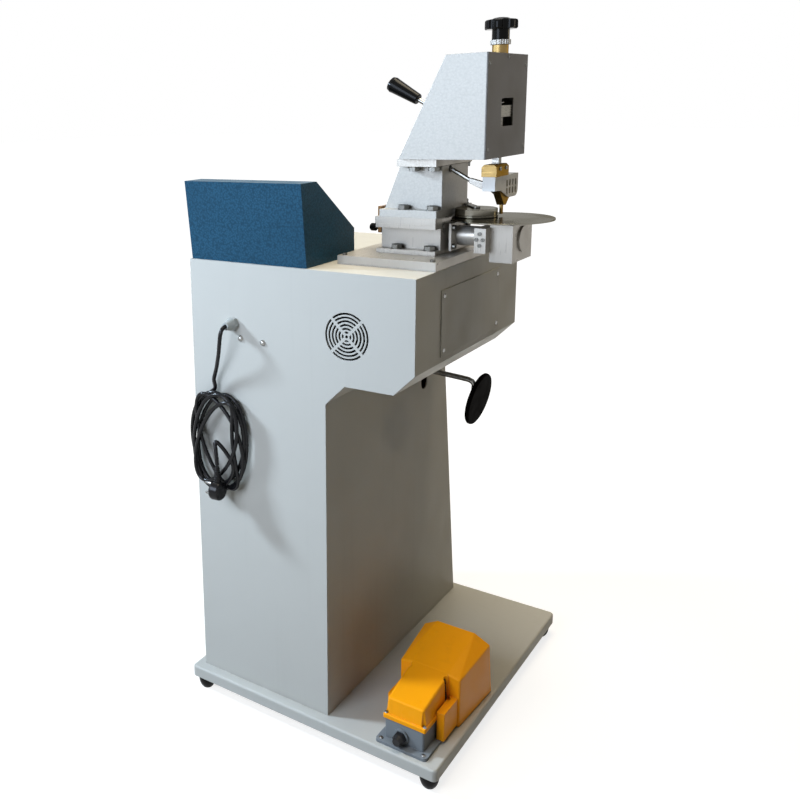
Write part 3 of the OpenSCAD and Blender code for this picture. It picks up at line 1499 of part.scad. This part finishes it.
base_plate();
rubber_feet();
cabinet_shell();
access_cover();
casing_screws();
fan_frame();
fan_rotor();
cable_gland();
power_cord();
cord_coil();
power_plug();
control_housing();
control_panel();
temperature_knob();
speed_knob();
switch_bezel();
power_rocker();
bed_plate();
riser_block();
bed_fasteners();
slide_base();
slide_plate();
adjuster_bracket();
adjuster_screw();
neck();
head_mount_plate();
head_fasteners();
head_shell();
head_cover();
brass_bush();
lock_ring();
star_knob();
pressure_screw();
pressure_spring();
spindle_guide();
spindle();
lever_bracket();
lift_lever();
lever_grip();
heater_block();
heater_screws();
heater_guard();
heating_bit();
heater_lead();
turntable_disc();
disc_shaft();
gearbox_housing();
gearbox_cap();
bearing_flange();
drive_shaft();
drive_motor();
guide_roller();
guide_bracket();
knee_lever();
knee_pad();
knee_bracket();
switch_base();
switch_cover();
foot_pedal();
switch_gland();
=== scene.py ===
import json
import math

import bmesh
import bpy
from mathutils import Matrix, Vector


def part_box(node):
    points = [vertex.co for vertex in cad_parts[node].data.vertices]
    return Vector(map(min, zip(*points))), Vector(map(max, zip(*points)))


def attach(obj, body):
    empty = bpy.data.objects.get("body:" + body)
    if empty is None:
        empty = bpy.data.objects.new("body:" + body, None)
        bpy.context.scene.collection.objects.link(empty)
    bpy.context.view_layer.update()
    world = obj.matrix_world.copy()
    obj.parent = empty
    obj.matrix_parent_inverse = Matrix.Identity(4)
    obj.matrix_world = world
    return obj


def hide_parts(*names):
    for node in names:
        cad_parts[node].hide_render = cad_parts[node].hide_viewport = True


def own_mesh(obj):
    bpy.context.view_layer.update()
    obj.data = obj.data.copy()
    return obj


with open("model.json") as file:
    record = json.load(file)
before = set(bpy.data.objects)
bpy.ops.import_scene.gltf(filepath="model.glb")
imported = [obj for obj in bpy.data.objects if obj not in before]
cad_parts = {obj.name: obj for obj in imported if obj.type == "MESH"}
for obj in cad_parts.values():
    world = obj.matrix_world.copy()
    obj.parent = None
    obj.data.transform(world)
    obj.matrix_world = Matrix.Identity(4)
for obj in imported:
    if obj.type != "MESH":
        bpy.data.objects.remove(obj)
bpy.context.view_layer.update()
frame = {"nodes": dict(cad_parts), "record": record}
nodes = frame["nodes"]


def mm(x, y, z):
    """A place in part.scad's millimetres, as Blender's metres."""
    return Vector((x / 1000, y / 1000, z / 1000))


# ---------------------------------------------------------------- materials

# a Mix node's colour sockets
MIX_A, MIX_B, MIX_RESULT = 6, 7, 2


class Mat:
    """A principled material, with short calls for its noise, bump and wear."""

    def __init__(self, name, color, rough=0.5, metal=0.0, spec=0.5, coat=0.0, coat_rough=0.1):
        self.name = name
        self.mat = bpy.data.materials.new(name)
        self.mat.use_nodes = True
        self.t = self.mat.node_tree
        self.b = self.t.nodes["Principled BSDF"]
        self.b.inputs["Base Color"].default_value = (*color, 1)
        self.b.inputs["Roughness"].default_value = rough
        self.b.inputs["Metallic"].default_value = metal
        self.b.inputs["Specular IOR Level"].default_value = spec
        self.b.inputs["Coat Weight"].default_value = coat
        self.b.inputs["Coat Roughness"].default_value = coat_rough
        self.co = self.node("ShaderNodeTexCoord").outputs["Object"]
        self.color = None
        self.rgb = color
        self.normal = None
        self.rough = None
        self.rough0 = rough

    def node(self, kind, **values):
        """A new node; each value sets the input of that name, or else the node's own setting."""
        n = self.t.nodes.new(kind)
        for key, value in values.items():
            if key in n.inputs:
                n.inputs[key].default_value = value
            else:
                setattr(n, key, value)
        return n

    def link(self, a, b):
        self.t.links.new(a, b)

    def noise(self, scale, detail=3.0, rough=0.5, stretch=None):
        """Noise from 0 to 1 in the piece's own place; stretch scales it by axis, for lines."""
        n = self.node("ShaderNodeTexNoise", Scale=scale, Detail=detail, Roughness=rough)
        vector = self.co
        if stretch is not None:
            m = self.node("ShaderNodeMapping")
            m.inputs["Scale"].default_value = stretch
            self.link(self.co, m.inputs["Vector"])
            vector = m.outputs["Vector"]
        self.link(vector, n.inputs["Vector"])
        return n.outputs["Fac"]

    def ramp(self, fac, lo, hi, a=0.0, b=1.0):
        """Maps lo to hi onto a to b."""
        r = self.node("ShaderNodeMapRange")
        r.inputs["From Min"].default_value = lo
        r.inputs["From Max"].default_value = hi
        r.inputs["To Min"].default_value = a
        r.inputs["To Max"].default_value = b
        self.link(fac, r.inputs["Value"])
        return r.outputs["Result"]

    def mix_color(self, fac, other):
        """Mixes another colour over what the material has so far."""
        m = self.node("ShaderNodeMix", data_type="RGBA")
        m.inputs[MIX_B].default_value = (*other, 1)
        if self.color is None:
            m.inputs[MIX_A].default_value = (*self.rgb, 1)
        else:
            self.link(self.color, m.inputs[MIX_A])
        self.link(fac, m.inputs[0])
        self.color = m.outputs[MIX_RESULT]
        self.link(self.color, self.b.inputs["Base Color"])
        return self

    def vary_rough(self, fac, a, b):
        """Lets the roughness wander from a to b with a noise."""
        out = self.ramp(fac, 0.3, 0.7, a, b)
        self.rough = out
        self.link(out, self.b.inputs["Roughness"])
        return self

    def add_rough(self, fac, amount):
        """Adds up to an amount of roughness where fac is 1."""
        n = self.node("ShaderNodeMath", operation="MULTIPLY_ADD", use_clamp=True)
        n.inputs[1].default_value = amount
        if self.rough is None:
            n.inputs[2].default_value = self.rough0
        else:
            self.link(self.rough, n.inputs[2])
        self.link(fac, n.inputs[0])
        self.rough = n.outputs[0]
        self.link(self.rough, self.b.inputs["Roughness"])
        return self

    def rounded(self, radius):
        """Shades the piece as if its edges were rounded."""
        n = self.node("ShaderNodeBevel", Radius=radius)
        n.samples = 4
        self.normal = n.outputs["Normal"]
        self.link(self.normal, self.b.inputs["Normal"])
        return self

    def bump(self, height, distance, strength=1.0):
        """Lays a relief of a depth in metres over the normal so far."""
        n = self.node("ShaderNodeBump", Strength=strength, Distance=distance)
        self.link(height, n.inputs["Height"])
        if self.normal is not None:
            self.link(self.normal, n.inputs["Normal"])
        self.normal = n.outputs["Normal"]
        self.link(self.normal, self.b.inputs["Normal"])
        return self

    def edge(self, radius, power=1.0):
        """1 on a convex edge, 0 on a flat: how far the rounded normal leaves the true one."""
        n = self.node("ShaderNodeBevel", Radius=radius)
        n.samples = 4
        g = self.node("ShaderNodeNewGeometry")
        d = self.node("ShaderNodeVectorMath", operation="DOT_PRODUCT")
        self.link(n.outputs["Normal"], d.inputs[0])
        self.link(g.outputs["Normal"], d.inputs[1])
        return self.ramp(d.outputs["Value"], 0.98, 0.80, 0.0, power)

    def corner_shade_and_dust(self, distance):
        """1 in a corner or a gap within a distance, 0 in the open: the mask for painted shade in corners, and
        for dust.
        """
        n = self.node("ShaderNodeAmbientOcclusion", Distance=distance)
        n.samples = 4
        return self.ramp(n.outputs["AO"], 0.75, 0.25, 0.0, 1.0)

    def multiply(self, a, b):
        n = self.node("ShaderNodeMath", operation="MULTIPLY", use_clamp=True)
        self.link(a, n.inputs[0])
        self.link(b, n.inputs[1])
        return n.outputs[0]


def sheet_paint(name, color, grime_and_shade, edge_color, rough=0.42):
    """Powder-coated sheet: fine orange peel, faint cloudiness, rubbed edges, a little grime in streaks, and
    painted shade in corners and gaps.
    """
    m = Mat(name, color, rough, spec=0.08)
    cloud = m.noise(3.5, 4, 0.6)
    m.mix_color(m.ramp(cloud, 0.35, 0.75, 0.0, 0.35), tuple(c * 0.94 for c in color))
    # painted shade: corners and gaps darkened towards the grime colour, in patches
    m.mix_color(m.multiply(m.corner_shade_and_dust(0.03), m.ramp(m.noise(40, 4), 0.3, 0.7, 0.15, 0.7)), grime_and_shade)
    streak = m.noise(1.0, 3, 0.55, stretch=(55, 55, 2.2))
    m.mix_color(m.ramp(streak, 0.58, 0.8, 0.0, 0.08), grime_and_shade)
    m.vary_rough(m.noise(18, 3), rough - 0.07, rough + 0.08)
    m.rounded(0.0012)
    chip = m.multiply(m.edge(0.0009), m.ramp(m.noise(120, 2), 0.5, 0.65))
    m.mix_color(chip, edge_color)
    m.bump(m.noise(900, 2, 0.6), 0.00006, 0.5)
    m.bump(m.noise(9, 2, 0.4), 0.0005, 0.2)
    return m


def textured_paint(name, color, painted_sheen, rough=0.40):
    """Dark wrinkle paint: a fine leathery grain with a painted cool sheen on its crests."""
    m = Mat(name, color, rough, spec=0.10)
    v = m.node("ShaderNodeTexVoronoi", Scale=310.0, feature="SMOOTH_F1")
    v.inputs["Smoothness"].default_value = 0.6
    m.link(m.co, v.inputs["Vector"])
    # painted sheen: a lighter blue laid on the grain's crests
    m.mix_color(m.ramp(v.outputs["Distance"], 0.2, 0.7, 0.45, 0.0), painted_sheen)
    m.mix_color(m.ramp(m.noise(6, 4), 0.4, 0.75, 0.0, 0.3), tuple(c * 0.7 for c in color))
    m.vary_rough(m.noise(30, 3), rough - 0.05, rough + 0.08)
    m.rounded(0.0012)
    chip = m.multiply(m.edge(0.0009), m.ramp(m.noise(150, 2), 0.5, 0.65, 0.0, 0.6))
    m.mix_color(chip, (0.16, 0.18, 0.20))
    m.bump(v.outputs["Distance"], 0.0003, 0.35)
    m.bump(m.noise(1500, 2), 0.00005, 0.4)
    return m


def hammertone(name, color, rough=0.46):
    """Silver hammer finish: small soft dimples with a metallic flake, and painted shade in corners and gaps.
    """
    m = Mat(name, color, rough, metal=0.15, spec=0.35)
    v = m.node("ShaderNodeTexVoronoi", Scale=290.0, feature="SMOOTH_F1")
    v.inputs["Smoothness"].default_value = 0.9
    m.link(m.co, v.inputs["Vector"])
    m.mix_color(m.ramp(v.outputs["Distance"], 0.2, 0.7, 0.0, 0.45), tuple(c * 0.74 for c in color))
    m.mix_color(m.ramp(m.noise(2200, 1), 0.35, 0.75, 0.0, 0.4), tuple(min(1, c * 1.2) for c in color))
    m.mix_color(m.ramp(m.noise(3, 2), 0.3, 0.8, 0.0, 0.2), tuple(c * 0.92 for c in color))
    # painted shade: corners and gaps darkened, in patches
    m.mix_color(m.multiply(m.corner_shade_and_dust(0.02), m.ramp(m.noise(60, 3), 0.3, 0.7, 0.1, 0.6)), (0.18, 0.17, 0.15))
    m.vary_rough(m.noise(8, 2), rough - 0.015, rough + 0.02)
    m.rounded(0.001)
    m.mix_color(m.multiply(m.edge(0.0007), m.ramp(m.noise(150, 2), 0.5, 0.65)), (0.75, 0.75, 0.74))
    m.bump(v.outputs["Distance"], 0.0004, 0.4)
    return m


def milled(name, color, rough, along=(900, 25, 25), smudge=(0.35, 0.33, 0.30), edge=1.25, metal=1.0):
    """Milled or ground metal: fine lines one way, small pits and handling marks, painted shade in tight
    corners, and a painted highlight that makes its edges edge times lighter.
    """
    m = Mat(name, color, rough, metal=metal, spec=0.3)
    m.b.inputs["Specular Tint"].default_value = (*(min(1, 1.5 * c) for c in color), 1)
    lines = m.noise(1.0, 3, 0.6, stretch=along)
    fine = m.noise(1.0, 2, 0.5, stretch=tuple(2.7 * a for a in along))
    m.mix_color(m.ramp(lines, 0.35, 0.7, 0.0, 0.35), tuple(c * 0.84 for c in color))
    m.mix_color(m.ramp(m.noise(25, 5, 0.65), 0.55, 0.78, 0.0, 0.3), smudge)
    # painted shade: tight corners darkened to near black, in patches
    m.mix_color(m.multiply(m.corner_shade_and_dust(0.008), m.ramp(m.noise(80, 2), 0.3, 0.7, 0.2, 0.9)), (0.08, 0.075, 0.07))
    m.vary_rough(lines, rough - 0.08, rough + 0.14)
    m.add_rough(m.ramp(m.noise(35, 4), 0.5, 0.8), 0.12)
    m.rounded(0.0006)
    # painted highlight: every edge lightened by the factor edge
    m.mix_color(m.edge(0.0005, 0.9), tuple(min(1, c * edge) for c in color))
    m.bump(fine, 0.00003, 0.5)
    m.b.inputs["Anisotropic"].default_value = 0.35
    return m


def plastic(name, color, rough, grain=1400, depth=0.00004, coat=0.0, wear=(0.25, 0.25, 0.25),
            dust=0.35, spec=0.4):
    """Moulded plastic: fine grain, rubbed edges and dust in the corners."""
    m = Mat(name, color, rough, spec=spec, coat=coat, coat_rough=0.06)
    m.mix_color(m.ramp(m.noise(60, 4), 0.45, 0.75, 0.0, 0.25), tuple(min(1, c * 1.35 + 0.003) for c in color))
    m.mix_color(m.multiply(m.corner_shade_and_dust(0.005), m.ramp(m.noise(90, 2), 0.4, 0.75, 0.0, dust)), (0.16, 0.155, 0.14))
    m.vary_rough(m.noise(45, 3), rough - 0.05, rough + 0.09)
    m.rounded(0.0006)
    rubbed = 0.4 if dust > 0.2 else 0.05
    m.mix_color(m.multiply(m.edge(0.0005), m.ramp(m.noise(200, 2), 0.5, 0.7, 0.0, rubbed)), wear)
    m.bump(m.noise(grain, 2), depth, 0.6)
    return m


# One finish for each material slot of the record, and pad_black for the knee pad.
# A metal is written with its colour, roughness, the stretch of its grinding lines and its smudges; edge,
# where given, sets its painted edge highlight.
FINISHES = (
    sheet_paint("base_paint", (0.50, 0.485, 0.44), (0.28, 0.26, 0.22), (0.42, 0.41, 0.40)),
    sheet_paint("cover_paint", (0.47, 0.455, 0.41), (0.26, 0.24, 0.20), (0.42, 0.41, 0.40)),
    # the second colour is the painted sheen on the grain's crests
    textured_paint("control_paint", (0.011, 0.048, 0.084), (0.030, 0.120, 0.205)),
    sheet_paint("panel_paint", (0.05, 0.06, 0.075), (0.10, 0.10, 0.10), (0.3, 0.3, 0.3)),
    hammertone("hammer_paint", (0.465, 0.45, 0.415)),
    sheet_paint("cover_dark", (0.16, 0.15, 0.14), (0.10, 0.09, 0.08), (0.4, 0.4, 0.4), 0.36),
    # the machined aluminium's edges get a strong painted highlight
    milled("machined_aluminium", (0.42, 0.40, 0.365), 0.32, edge=1.7, metal=0.5),
    milled("fixing_steel", (0.16, 0.16, 0.15), 0.30, (300, 300, 60), (0.08, 0.075, 0.07)),
    milled("zinc", (0.27, 0.27, 0.26), 0.24, (200, 200, 200), (0.18, 0.17, 0.16)),
    milled("steel", (0.25, 0.245, 0.23), 0.28, (60, 60, 900), (0.17, 0.16, 0.145)),
    milled("polished_steel", (0.20, 0.19, 0.16), 0.14, (14, 14, 14), (0.15, 0.14, 0.12)),
    milled("brass", (0.24, 0.165, 0.065), 0.34, (60, 60, 600), (0.15, 0.095, 0.035)),
    sheet_paint("white_ceramic", (0.88, 0.875, 0.85), (0.50, 0.44, 0.33), (0.6, 0.58, 0.54), 0.32),
    plastic("brown_laminate", (0.20, 0.095, 0.025), 0.3, 400, 0.00006, 0.3, (0.4, 0.25, 0.1)),
    plastic("black_rubber", (0.006, 0.005, 0.005), 0.42, 700, 0.00006, 0.0, dust=0.15, spec=0.10),
    plastic("cord_black", (0.003, 0.003, 0.004), 0.22, 600, 0.00004, 0.0, dust=0.05, spec=0.22),
    plastic("black_plastic", (0.003, 0.003, 0.003), 0.13, 300, 0.00001, 0.0, dust=0.05, spec=0.08),
    plastic("matt_black_plastic", (0.008, 0.008, 0.009), 0.42, spec=0.25, dust=0.15),
    plastic("pad_black", (0.004, 0.0035, 0.003), 0.5, 700, 0.00006, dust=0.05, spec=0.003),
    plastic("grey_plastic", (0.36, 0.37, 0.35), 0.40),
    plastic("rocker_red", (0.42, 0.02, 0.015), 0.25, 300, 0.00002, 0.4, (0.6, 0.2, 0.15)),
    sheet_paint("motor_paint", (0.03, 0.03, 0.033), (0.06, 0.05, 0.05), (0.3, 0.3, 0.3)),
    sheet_paint("cast_grey", (0.20, 0.215, 0.225), (0.10, 0.10, 0.09), (0.42, 0.42, 0.42), 0.40),
    sheet_paint("orange", (1.0, 0.37, 0.006), (0.30, 0.13, 0.02), (0.62, 0.40, 0.16), 0.34),
)
M = {finish.name: finish.mat for finish in FINISHES}

slot_of = {part["node"]: part["material_slot"] for part in frame["record"]["subparts"]}
slot_of["knee_pad"] = "pad_black"  # moulded without the gloss of its slot's other pieces
for name, obj in nodes.items():
    finish = M[slot_of[name]]
    if not obj.data.materials:
        obj.data.materials.append(finish)
    for i in range(len(obj.data.materials)):
        obj.data.materials[i] = finish


# ---------------------------------------------------------------- helpers

def new_object(name, mesh, slot_name, body):
    """Puts a mesh in the scene on a body, with the slot's finish where it has none yet."""
    obj = bpy.data.objects.new(name, mesh)
    bpy.context.scene.collection.objects.link(obj)
    if not mesh.materials:
        mesh.materials.append(M[slot_name])
    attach(obj, body)
    return obj


def to_mesh(bm, name, sharp_angle, finishes=()):
    """Turns a bmesh into a smooth mesh whose edges stay sharp above an angle in degrees."""
    mesh = bpy.data.meshes.new(name)
    for finish in finishes:
        mesh.materials.append(M[finish])
    bm.normal_update()
    bm.to_mesh(mesh)
    bm.free()
    for polygon in mesh.polygons:
        polygon.use_smooth = True
    mesh.set_sharp_from_angle(angle=math.radians(sharp_angle))
    return mesh


def lathe(bm, profile, sides, at):
    """Turns a list of (radius, height) about Z; a radius of 0 closes the end."""
    rings = []
    for r, z in profile:
        angles = [0] if r == 0 else [2 * math.pi * i / sides for i in range(sides)]
        rings.append([bm.verts.new(at @ Vector((r * math.cos(a), r * math.sin(a), z))) for a in angles])
    for a, b in zip(rings, rings[1:]):
        for i in range(sides):
            j = (i + 1) % sides
            if len(a) == 1:
                bm.faces.new((b[i], b[j], a[0]))
            elif len(b) == 1:
                bm.faces.new((a[i], a[j], b[0]))
            else:
                bm.faces.new((a[i], a[j], b[j], b[i]))


def turn_to(direction, at):
    """A matrix that puts +Z along a direction at a place."""
    turn = Vector(direction).normalized().to_track_quat("Z", "Y")
    return Matrix.Translation(at) @ turn.to_matrix().to_4x4()


# ---------------------------------------------------------------- mains cord and plug

CORD_D = 0.007
LEAD = [(179, 284, 730), (179, 292, 730), (179, 297, 728.5), (179.5, 301, 724), (180.5, 303, 716),
        (183, 302, 704), (190, 296, 684), (200, 288, 662), (211, 281, 640), (218, 279, 627)]
COIL_X, COIL_Z = 208, 518
TURNS = [  # half width, half height, tilt in degrees, y: each turn blends into the next
    (62, 94, 5, 274.5), (50, 88, 13, 275.5), (60, 90, -5, 282), (34, 90, -22, 285),
    (36, 84, 24, 291.5), (50, 90, 8, 288.5),
]
TURN_STEPS = 18
OPEN_STEPS = 5  # how far the last turn stops short, where the tail goes down
FIRST_ANGLE = math.radians(78)
PLUG_X, PLUG_Y, PLUG_Z = 186, 305.25, 436
NECK_X = 195
TAIL = [(207, 297, 532), (200, 301, 512), (196, 304.3, 496), (NECK_X, PLUG_Y, 483)]


def coil_point(step):
    """One point of the hanging coil: a tilted ellipse that changes from turn to turn."""
    turn = step / TURN_STEPS
    i = int(turn)
    after = min(i + 1, len(TURNS) - 1)
    blend = max(0.0, (turn - i - 0.5) * 2)
    blend = blend * blend * (3 - 2 * blend)
    half_w, half_h, tilt, y = (a * (1 - blend) + b * blend for a, b in zip(TURNS[i], TURNS[after]))
    angle = FIRST_ANGLE - 2 * math.pi * turn
    x, z = half_w * math.cos(angle), half_h * math.sin(angle)
    c, s = math.cos(math.radians(tilt)), math.sin(math.radians(tilt))
    return COIL_X + x * c - z * s, y, COIL_Z + x * s + z * c


def mains_cord():
    coil = [coil_point(step) for step in range(len(TURNS) * TURN_STEPS - OPEN_STEPS)]
    route = [mm(*p) for p in LEAD + coil + TAIL]
    curve = bpy.data.curves.new("mains_cord", "CURVE")
    curve.dimensions = "3D"
    curve.bevel_depth = CORD_D / 2
    curve.bevel_resolution = 5
    curve.resolution_u = 6
    curve.use_fill_caps = True
    spline = curve.splines.new("NURBS")
    spline.points.add(len(route) - 1)
    for point, place in zip(spline.points, route):
        point.co = (*place, 1)
    spline.order_u = 4
    spline.use_endpoint_u = True
    curve.materials.append(M["cord_black"])
    cord = bpy.data.objects.new("mains_cord", curve)
    bpy.context.scene.collection.objects.link(cord)
    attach(cord, "frame")
    return cord


def mains_plug():
    """A flat round two-pin plug that hangs edge on, with a ribbed sleeve for the cord."""
    bm = bmesh.new()
    disc = [(0, 0), (0.0135, 0), (0.0158, 0.0008), (0.0170, 0.0026), (0.0172, 0.0130),
            (0.0176, 0.0136), (0.0176, 0.0156), (0.0170, 0.0162), (0.0166, 0.0176),
            (0.0150, 0.018), (0, 0.018)]
    lathe(bm, disc, 48, turn_to((1, 0, 0), mm(PLUG_X, PLUG_Y, PLUG_Z)))

    sleeve = [(0, 0.006), (0.0085, 0.006), (0.0085, 0.0115)]
    for i in range(9):
        r, z = 0.0075 - 0.00035 * i, 0.012 + 0.0035 * i
        sleeve += [(r, z), (r, z + 0.0016), (r - 0.0012, z + 0.0019), (r - 0.0012, z + 0.0032)]
    sleeve += [(0.0040, 0.0448), (0, 0.0448)]
    lathe(bm, sleeve, 32, turn_to((0, 0, 1), mm(NECK_X, PLUG_Y, PLUG_Z)))

    moulded_faces = len(bm.faces)
    pin = [(0, 0), (0.0024, 0), (0.0024, 0.0172), (0.0012, 0.019), (0, 0.019)]
    for dz in (-9.5, 9.5):
        lathe(bm, pin, 20, turn_to((1, 0, 0), mm(PLUG_X + 17.8, PLUG_Y, PLUG_Z + dz)))
    bm.faces.ensure_lookup_table()
    for face in bm.faces[moulded_faces:]:
        face.material_index = 1
    mesh = to_mesh(bm, "mains_plug", 35, ("cord_black", "zinc"))
    return new_object("mains_plug", mesh, "cord_black", "frame")


cord = mains_cord()
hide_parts("power_cord", "cord_coil")
plug = mains_plug()
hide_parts("power_plug")


# ---------------------------------------------------------------- screws of the foot switch

SWITCH_X = -145
# half the distance across, y of each pair, top of the metal, head radius and height
LID_SCREWS = (34.5, (258, 178), 96, 0.0032, 0.0018)
FOOT_SCREWS = (38, (269, 52), 52.5, 0.0036, 0.0020)


def cross_head(bm, at, r, h):
    """A domed head with a black cross as painted shade for its recess: face material 0 is the head, 1 the
    cross.
    """
    sunk = -0.0004
    dome = [(0, sunk), (r, sunk), (r, h * 0.35), (r * 0.8, h * 0.8), (r * 0.4, h), (0, h)]
    lathe(bm, dome, 20, Matrix.Translation(at))
    head_faces = len(bm.faces)
    # painted shade: black bars stand for the shade in the cross recess
    for turn in (math.radians(20), math.radians(110)):
        bar = Matrix.Translation(at + Vector((0, 0, h * 0.75))) @ Matrix.Rotation(turn, 4, "Z")
        size = Matrix.Diagonal((r * 1.2, r * 0.26, h * 0.62, 1))
        bmesh.ops.create_cube(bm, size=1.0, matrix=bar @ size)
    bm.faces.ensure_lookup_table()
    for face in bm.faces[head_faces:]:
        face.material_index = 1


bm = bmesh.new()
for across, rows, top, r, h in (LID_SCREWS, FOOT_SCREWS):
    for side in (-1, 1):
        for y in rows:
            cross_head(bm, mm(SWITCH_X + side * across, y, top), r, h)
# the crosses take the matt black as painted shade
screws = to_mesh(bm, "switch_screws", 30, ("zinc", "matt_black_plastic"))
new_object("switch_screws", screws, "zinc", "frame")


# ---------------------------------------------------------------- pressure spring

def coil_spring(low, high, turns=6.5, wire=0.002, sides=10, turn_steps=28):
    """A round-wire spring that fills the box from low to high, as a mesh that can be squashed."""
    radius, rise = (high.x - low.x - wire) / 2, high.z - low.z - wire
    foot = Vector(((low.x + high.x) / 2, (low.y + high.y) / 2, low.z + wire / 2))
    up = Vector((0, 0, rise))
    bm = bmesh.new()
    rings, steps = [], round(turns * turn_steps)
    for i in range(steps + 1):
        out = Matrix.Rotation(2 * math.pi * i / turn_steps, 3, "Z") @ Vector((1, 0, 0))
        along = Vector((-out.y, out.x, 0)) * 2 * math.pi * turns * radius + up
        middle = foot + radius * out + up * i / steps
        rings.append([
            bm.verts.new(middle + Matrix.Rotation(2 * math.pi * k / sides, 3, along) @ out * wire / 2)
            for k in range(sides)])
    for a, b in zip(rings, rings[1:]):
        for k in range(sides):
            j = (k + 1) % sides
            bm.faces.new((a[k], a[j], b[j], b[k]))
    bm.faces.new(rings[0])
    bm.faces.new(rings[-1])
    bmesh.ops.recalc_face_normals(bm, faces=bm.faces)
    return to_mesh(bm, "coil_spring", 40)


# The spring fills the box of the CAD spring and goes on the carriage, with a mesh of its own.
low, high = (Vector(corner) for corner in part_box("pressure_spring"))
spring = new_object("coil_spring", coil_spring(low, high), "steel", "carriage")
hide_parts("pressure_spring")
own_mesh(spring)


# ---------------------------------------------------------------- floor, light and camera

FLOOR_HALF = 30.0
FLOOR_TONE = (0.32, 0.31, 0.29)
# the glow that makes the floor white, near the machine and far from it
GLOW_NEAR, GLOW_FAR = 0.80, 1.0
GLOW_FROM, GLOW_TO = 0.7, 2.2
ROOM_TONE, ROOM_STRENGTH = (1.0, 0.95, 0.80), 0.03
# name, place, aim, width and height, watts, colour
LIGHTS = (
    ("key", (1.7, 1.0, 1.7), (0.1, 0.2, 0.6), (0.3, 0.3), 59, (0.66, 0.82, 1.0)),
    ("front", (0.3, 1.7, 1.25), (0, 0.1, 0.5), (0.9, 0.9), 24.5, (0.72, 0.83, 1.0)),
    ("top", (-0.15, -0.1, 2.7), (-0.1, 0, 0.5), (1.0, 1.0), 48, (1.0, 0.88, 0.66)),
    ("low", (-2.2, -2.3, 1.35), (0, 0, 0.6), (0.35, 0.35), 4.6, (1.0, 0.80, 0.48)),
)
# the photo's camera, solved from the edges of cabinet, base plate and control box
CAMERA_AT = (-0.732, 1.465, 1.087)
PICTURE_RIGHT, PICTURE_UP = Vector((-0.7883, -0.6144, -0.0336)), Vector((0.1076, -0.1915, 0.9756))
LENS, SENSOR, SHIFT_X, SHIFT_Y = 40.81, 36, 0.2303, -0.1104


def background_rays(tree):
    """1 where the camera, a reflection or a transmitted ray sees the background."""
    path = tree.nodes.new("ShaderNodeLightPath")
    total = path.outputs["Is Camera Ray"]
    for other in ("Is Glossy Ray", "Is Transmission Ray"):
        either = tree.nodes.new("ShaderNodeMath")
        either.operation = "MAXIMUM"
        tree.links.new(total, either.inputs[0])
        tree.links.new(path.outputs[other], either.inputs[1])
        total = either.outputs[0]
    return total


def pale_floor():
    """Pale paper that glows up to white where it is seen, and keeps the machine's shadow."""
    paper = Mat("floor_pale", FLOOR_TONE, 0.8, spec=0.15)
    paper.mix_color(paper.ramp(paper.noise(2, 3), 0.3, 0.7, 0.0, 0.15), (0.30, 0.29, 0.28))
    distance = paper.node("ShaderNodeVectorMath", operation="LENGTH")
    paper.link(paper.co, distance.inputs[0])
    glow = paper.node("ShaderNodeEmission")
    glow.inputs["Color"].default_value = (1, 1, 1, 1)
    paper.link(paper.ramp(distance.outputs["Value"], GLOW_FROM, GLOW_TO, GLOW_NEAR, GLOW_FAR),
               glow.inputs["Strength"])
    lit = paper.node("ShaderNodeAddShader")
    paper.link(paper.b.outputs[0], lit.inputs[0])
    paper.link(glow.outputs[0], lit.inputs[1])
    seen = paper.node("ShaderNodeMixShader")
    paper.link(background_rays(paper.t), seen.inputs[0])
    paper.link(paper.b.outputs[0], seen.inputs[1])
    paper.link(lit.outputs[0], seen.inputs[2])
    paper.link(seen.outputs[0], paper.t.nodes["Material Output"].inputs["Surface"])

    mesh = bpy.data.meshes.new("floor")
    s = FLOOR_HALF
    mesh.from_pydata([(-s, -s, 0), (s, -s, 0), (s, s, 0), (-s, s, 0)], [], [(0, 1, 2, 3)])
    mesh.materials.append(paper.mat)
    floor = bpy.data.objects.new("floor", mesh)
    bpy.context.scene.collection.objects.link(floor)


def studio_world():
    """A faint warm room for diffuse light, and plain white where the background is seen."""
    world = bpy.data.worlds.new("studio")
    bpy.context.scene.world = world
    world.use_nodes = True
    tree = world.node_tree
    room = tree.nodes["Background"]
    room.inputs["Color"].default_value = (*ROOM_TONE, 1)
    room.inputs["Strength"].default_value = ROOM_STRENGTH
    white = tree.nodes.new("ShaderNodeBackground")
    white.inputs["Color"].default_value = (1, 1, 1, 1)
    white.inputs["Strength"].default_value = 1.0
    seen = tree.nodes.new("ShaderNodeMixShader")
    tree.links.new(background_rays(tree), seen.inputs[0])
    tree.links.new(room.outputs[0], seen.inputs[1])
    tree.links.new(white.outputs[0], seen.inputs[2])
    tree.links.new(seen.outputs[0], tree.nodes["World Output"].inputs["Surface"])


def area_light(name, at, aim, size, watts, color):
    light = bpy.data.lights.new(name, "AREA")
    light.shape = "RECTANGLE"
    light.size, light.size_y = size
    light.energy = watts
    light.color = color
    obj = bpy.data.objects.new(name, light)
    obj.location = at
    obj.rotation_euler = (Vector(aim) - Vector(at)).to_track_quat("-Z", "Y").to_euler()
    bpy.context.scene.collection.objects.link(obj)


def photo_camera():
    data = bpy.data.cameras.new("camera")
    data.lens, data.sensor_width = LENS, SENSOR
    data.shift_x, data.shift_y = SHIFT_X, SHIFT_Y
    camera = bpy.data.objects.new("camera", data)
    axes = Matrix((PICTURE_RIGHT, PICTURE_UP, PICTURE_RIGHT.cross(PICTURE_UP))).transposed()
    camera.matrix_world = Matrix.Translation(CAMERA_AT) @ axes.to_4x4()
    bpy.context.scene.collection.objects.link(camera)
    bpy.context.scene.camera = camera


pale_floor()
studio_world()
for light in LIGHTS:
    area_light(*light)
photo_camera()
bpy.context.scene.view_settings.view_transform = "Standard"
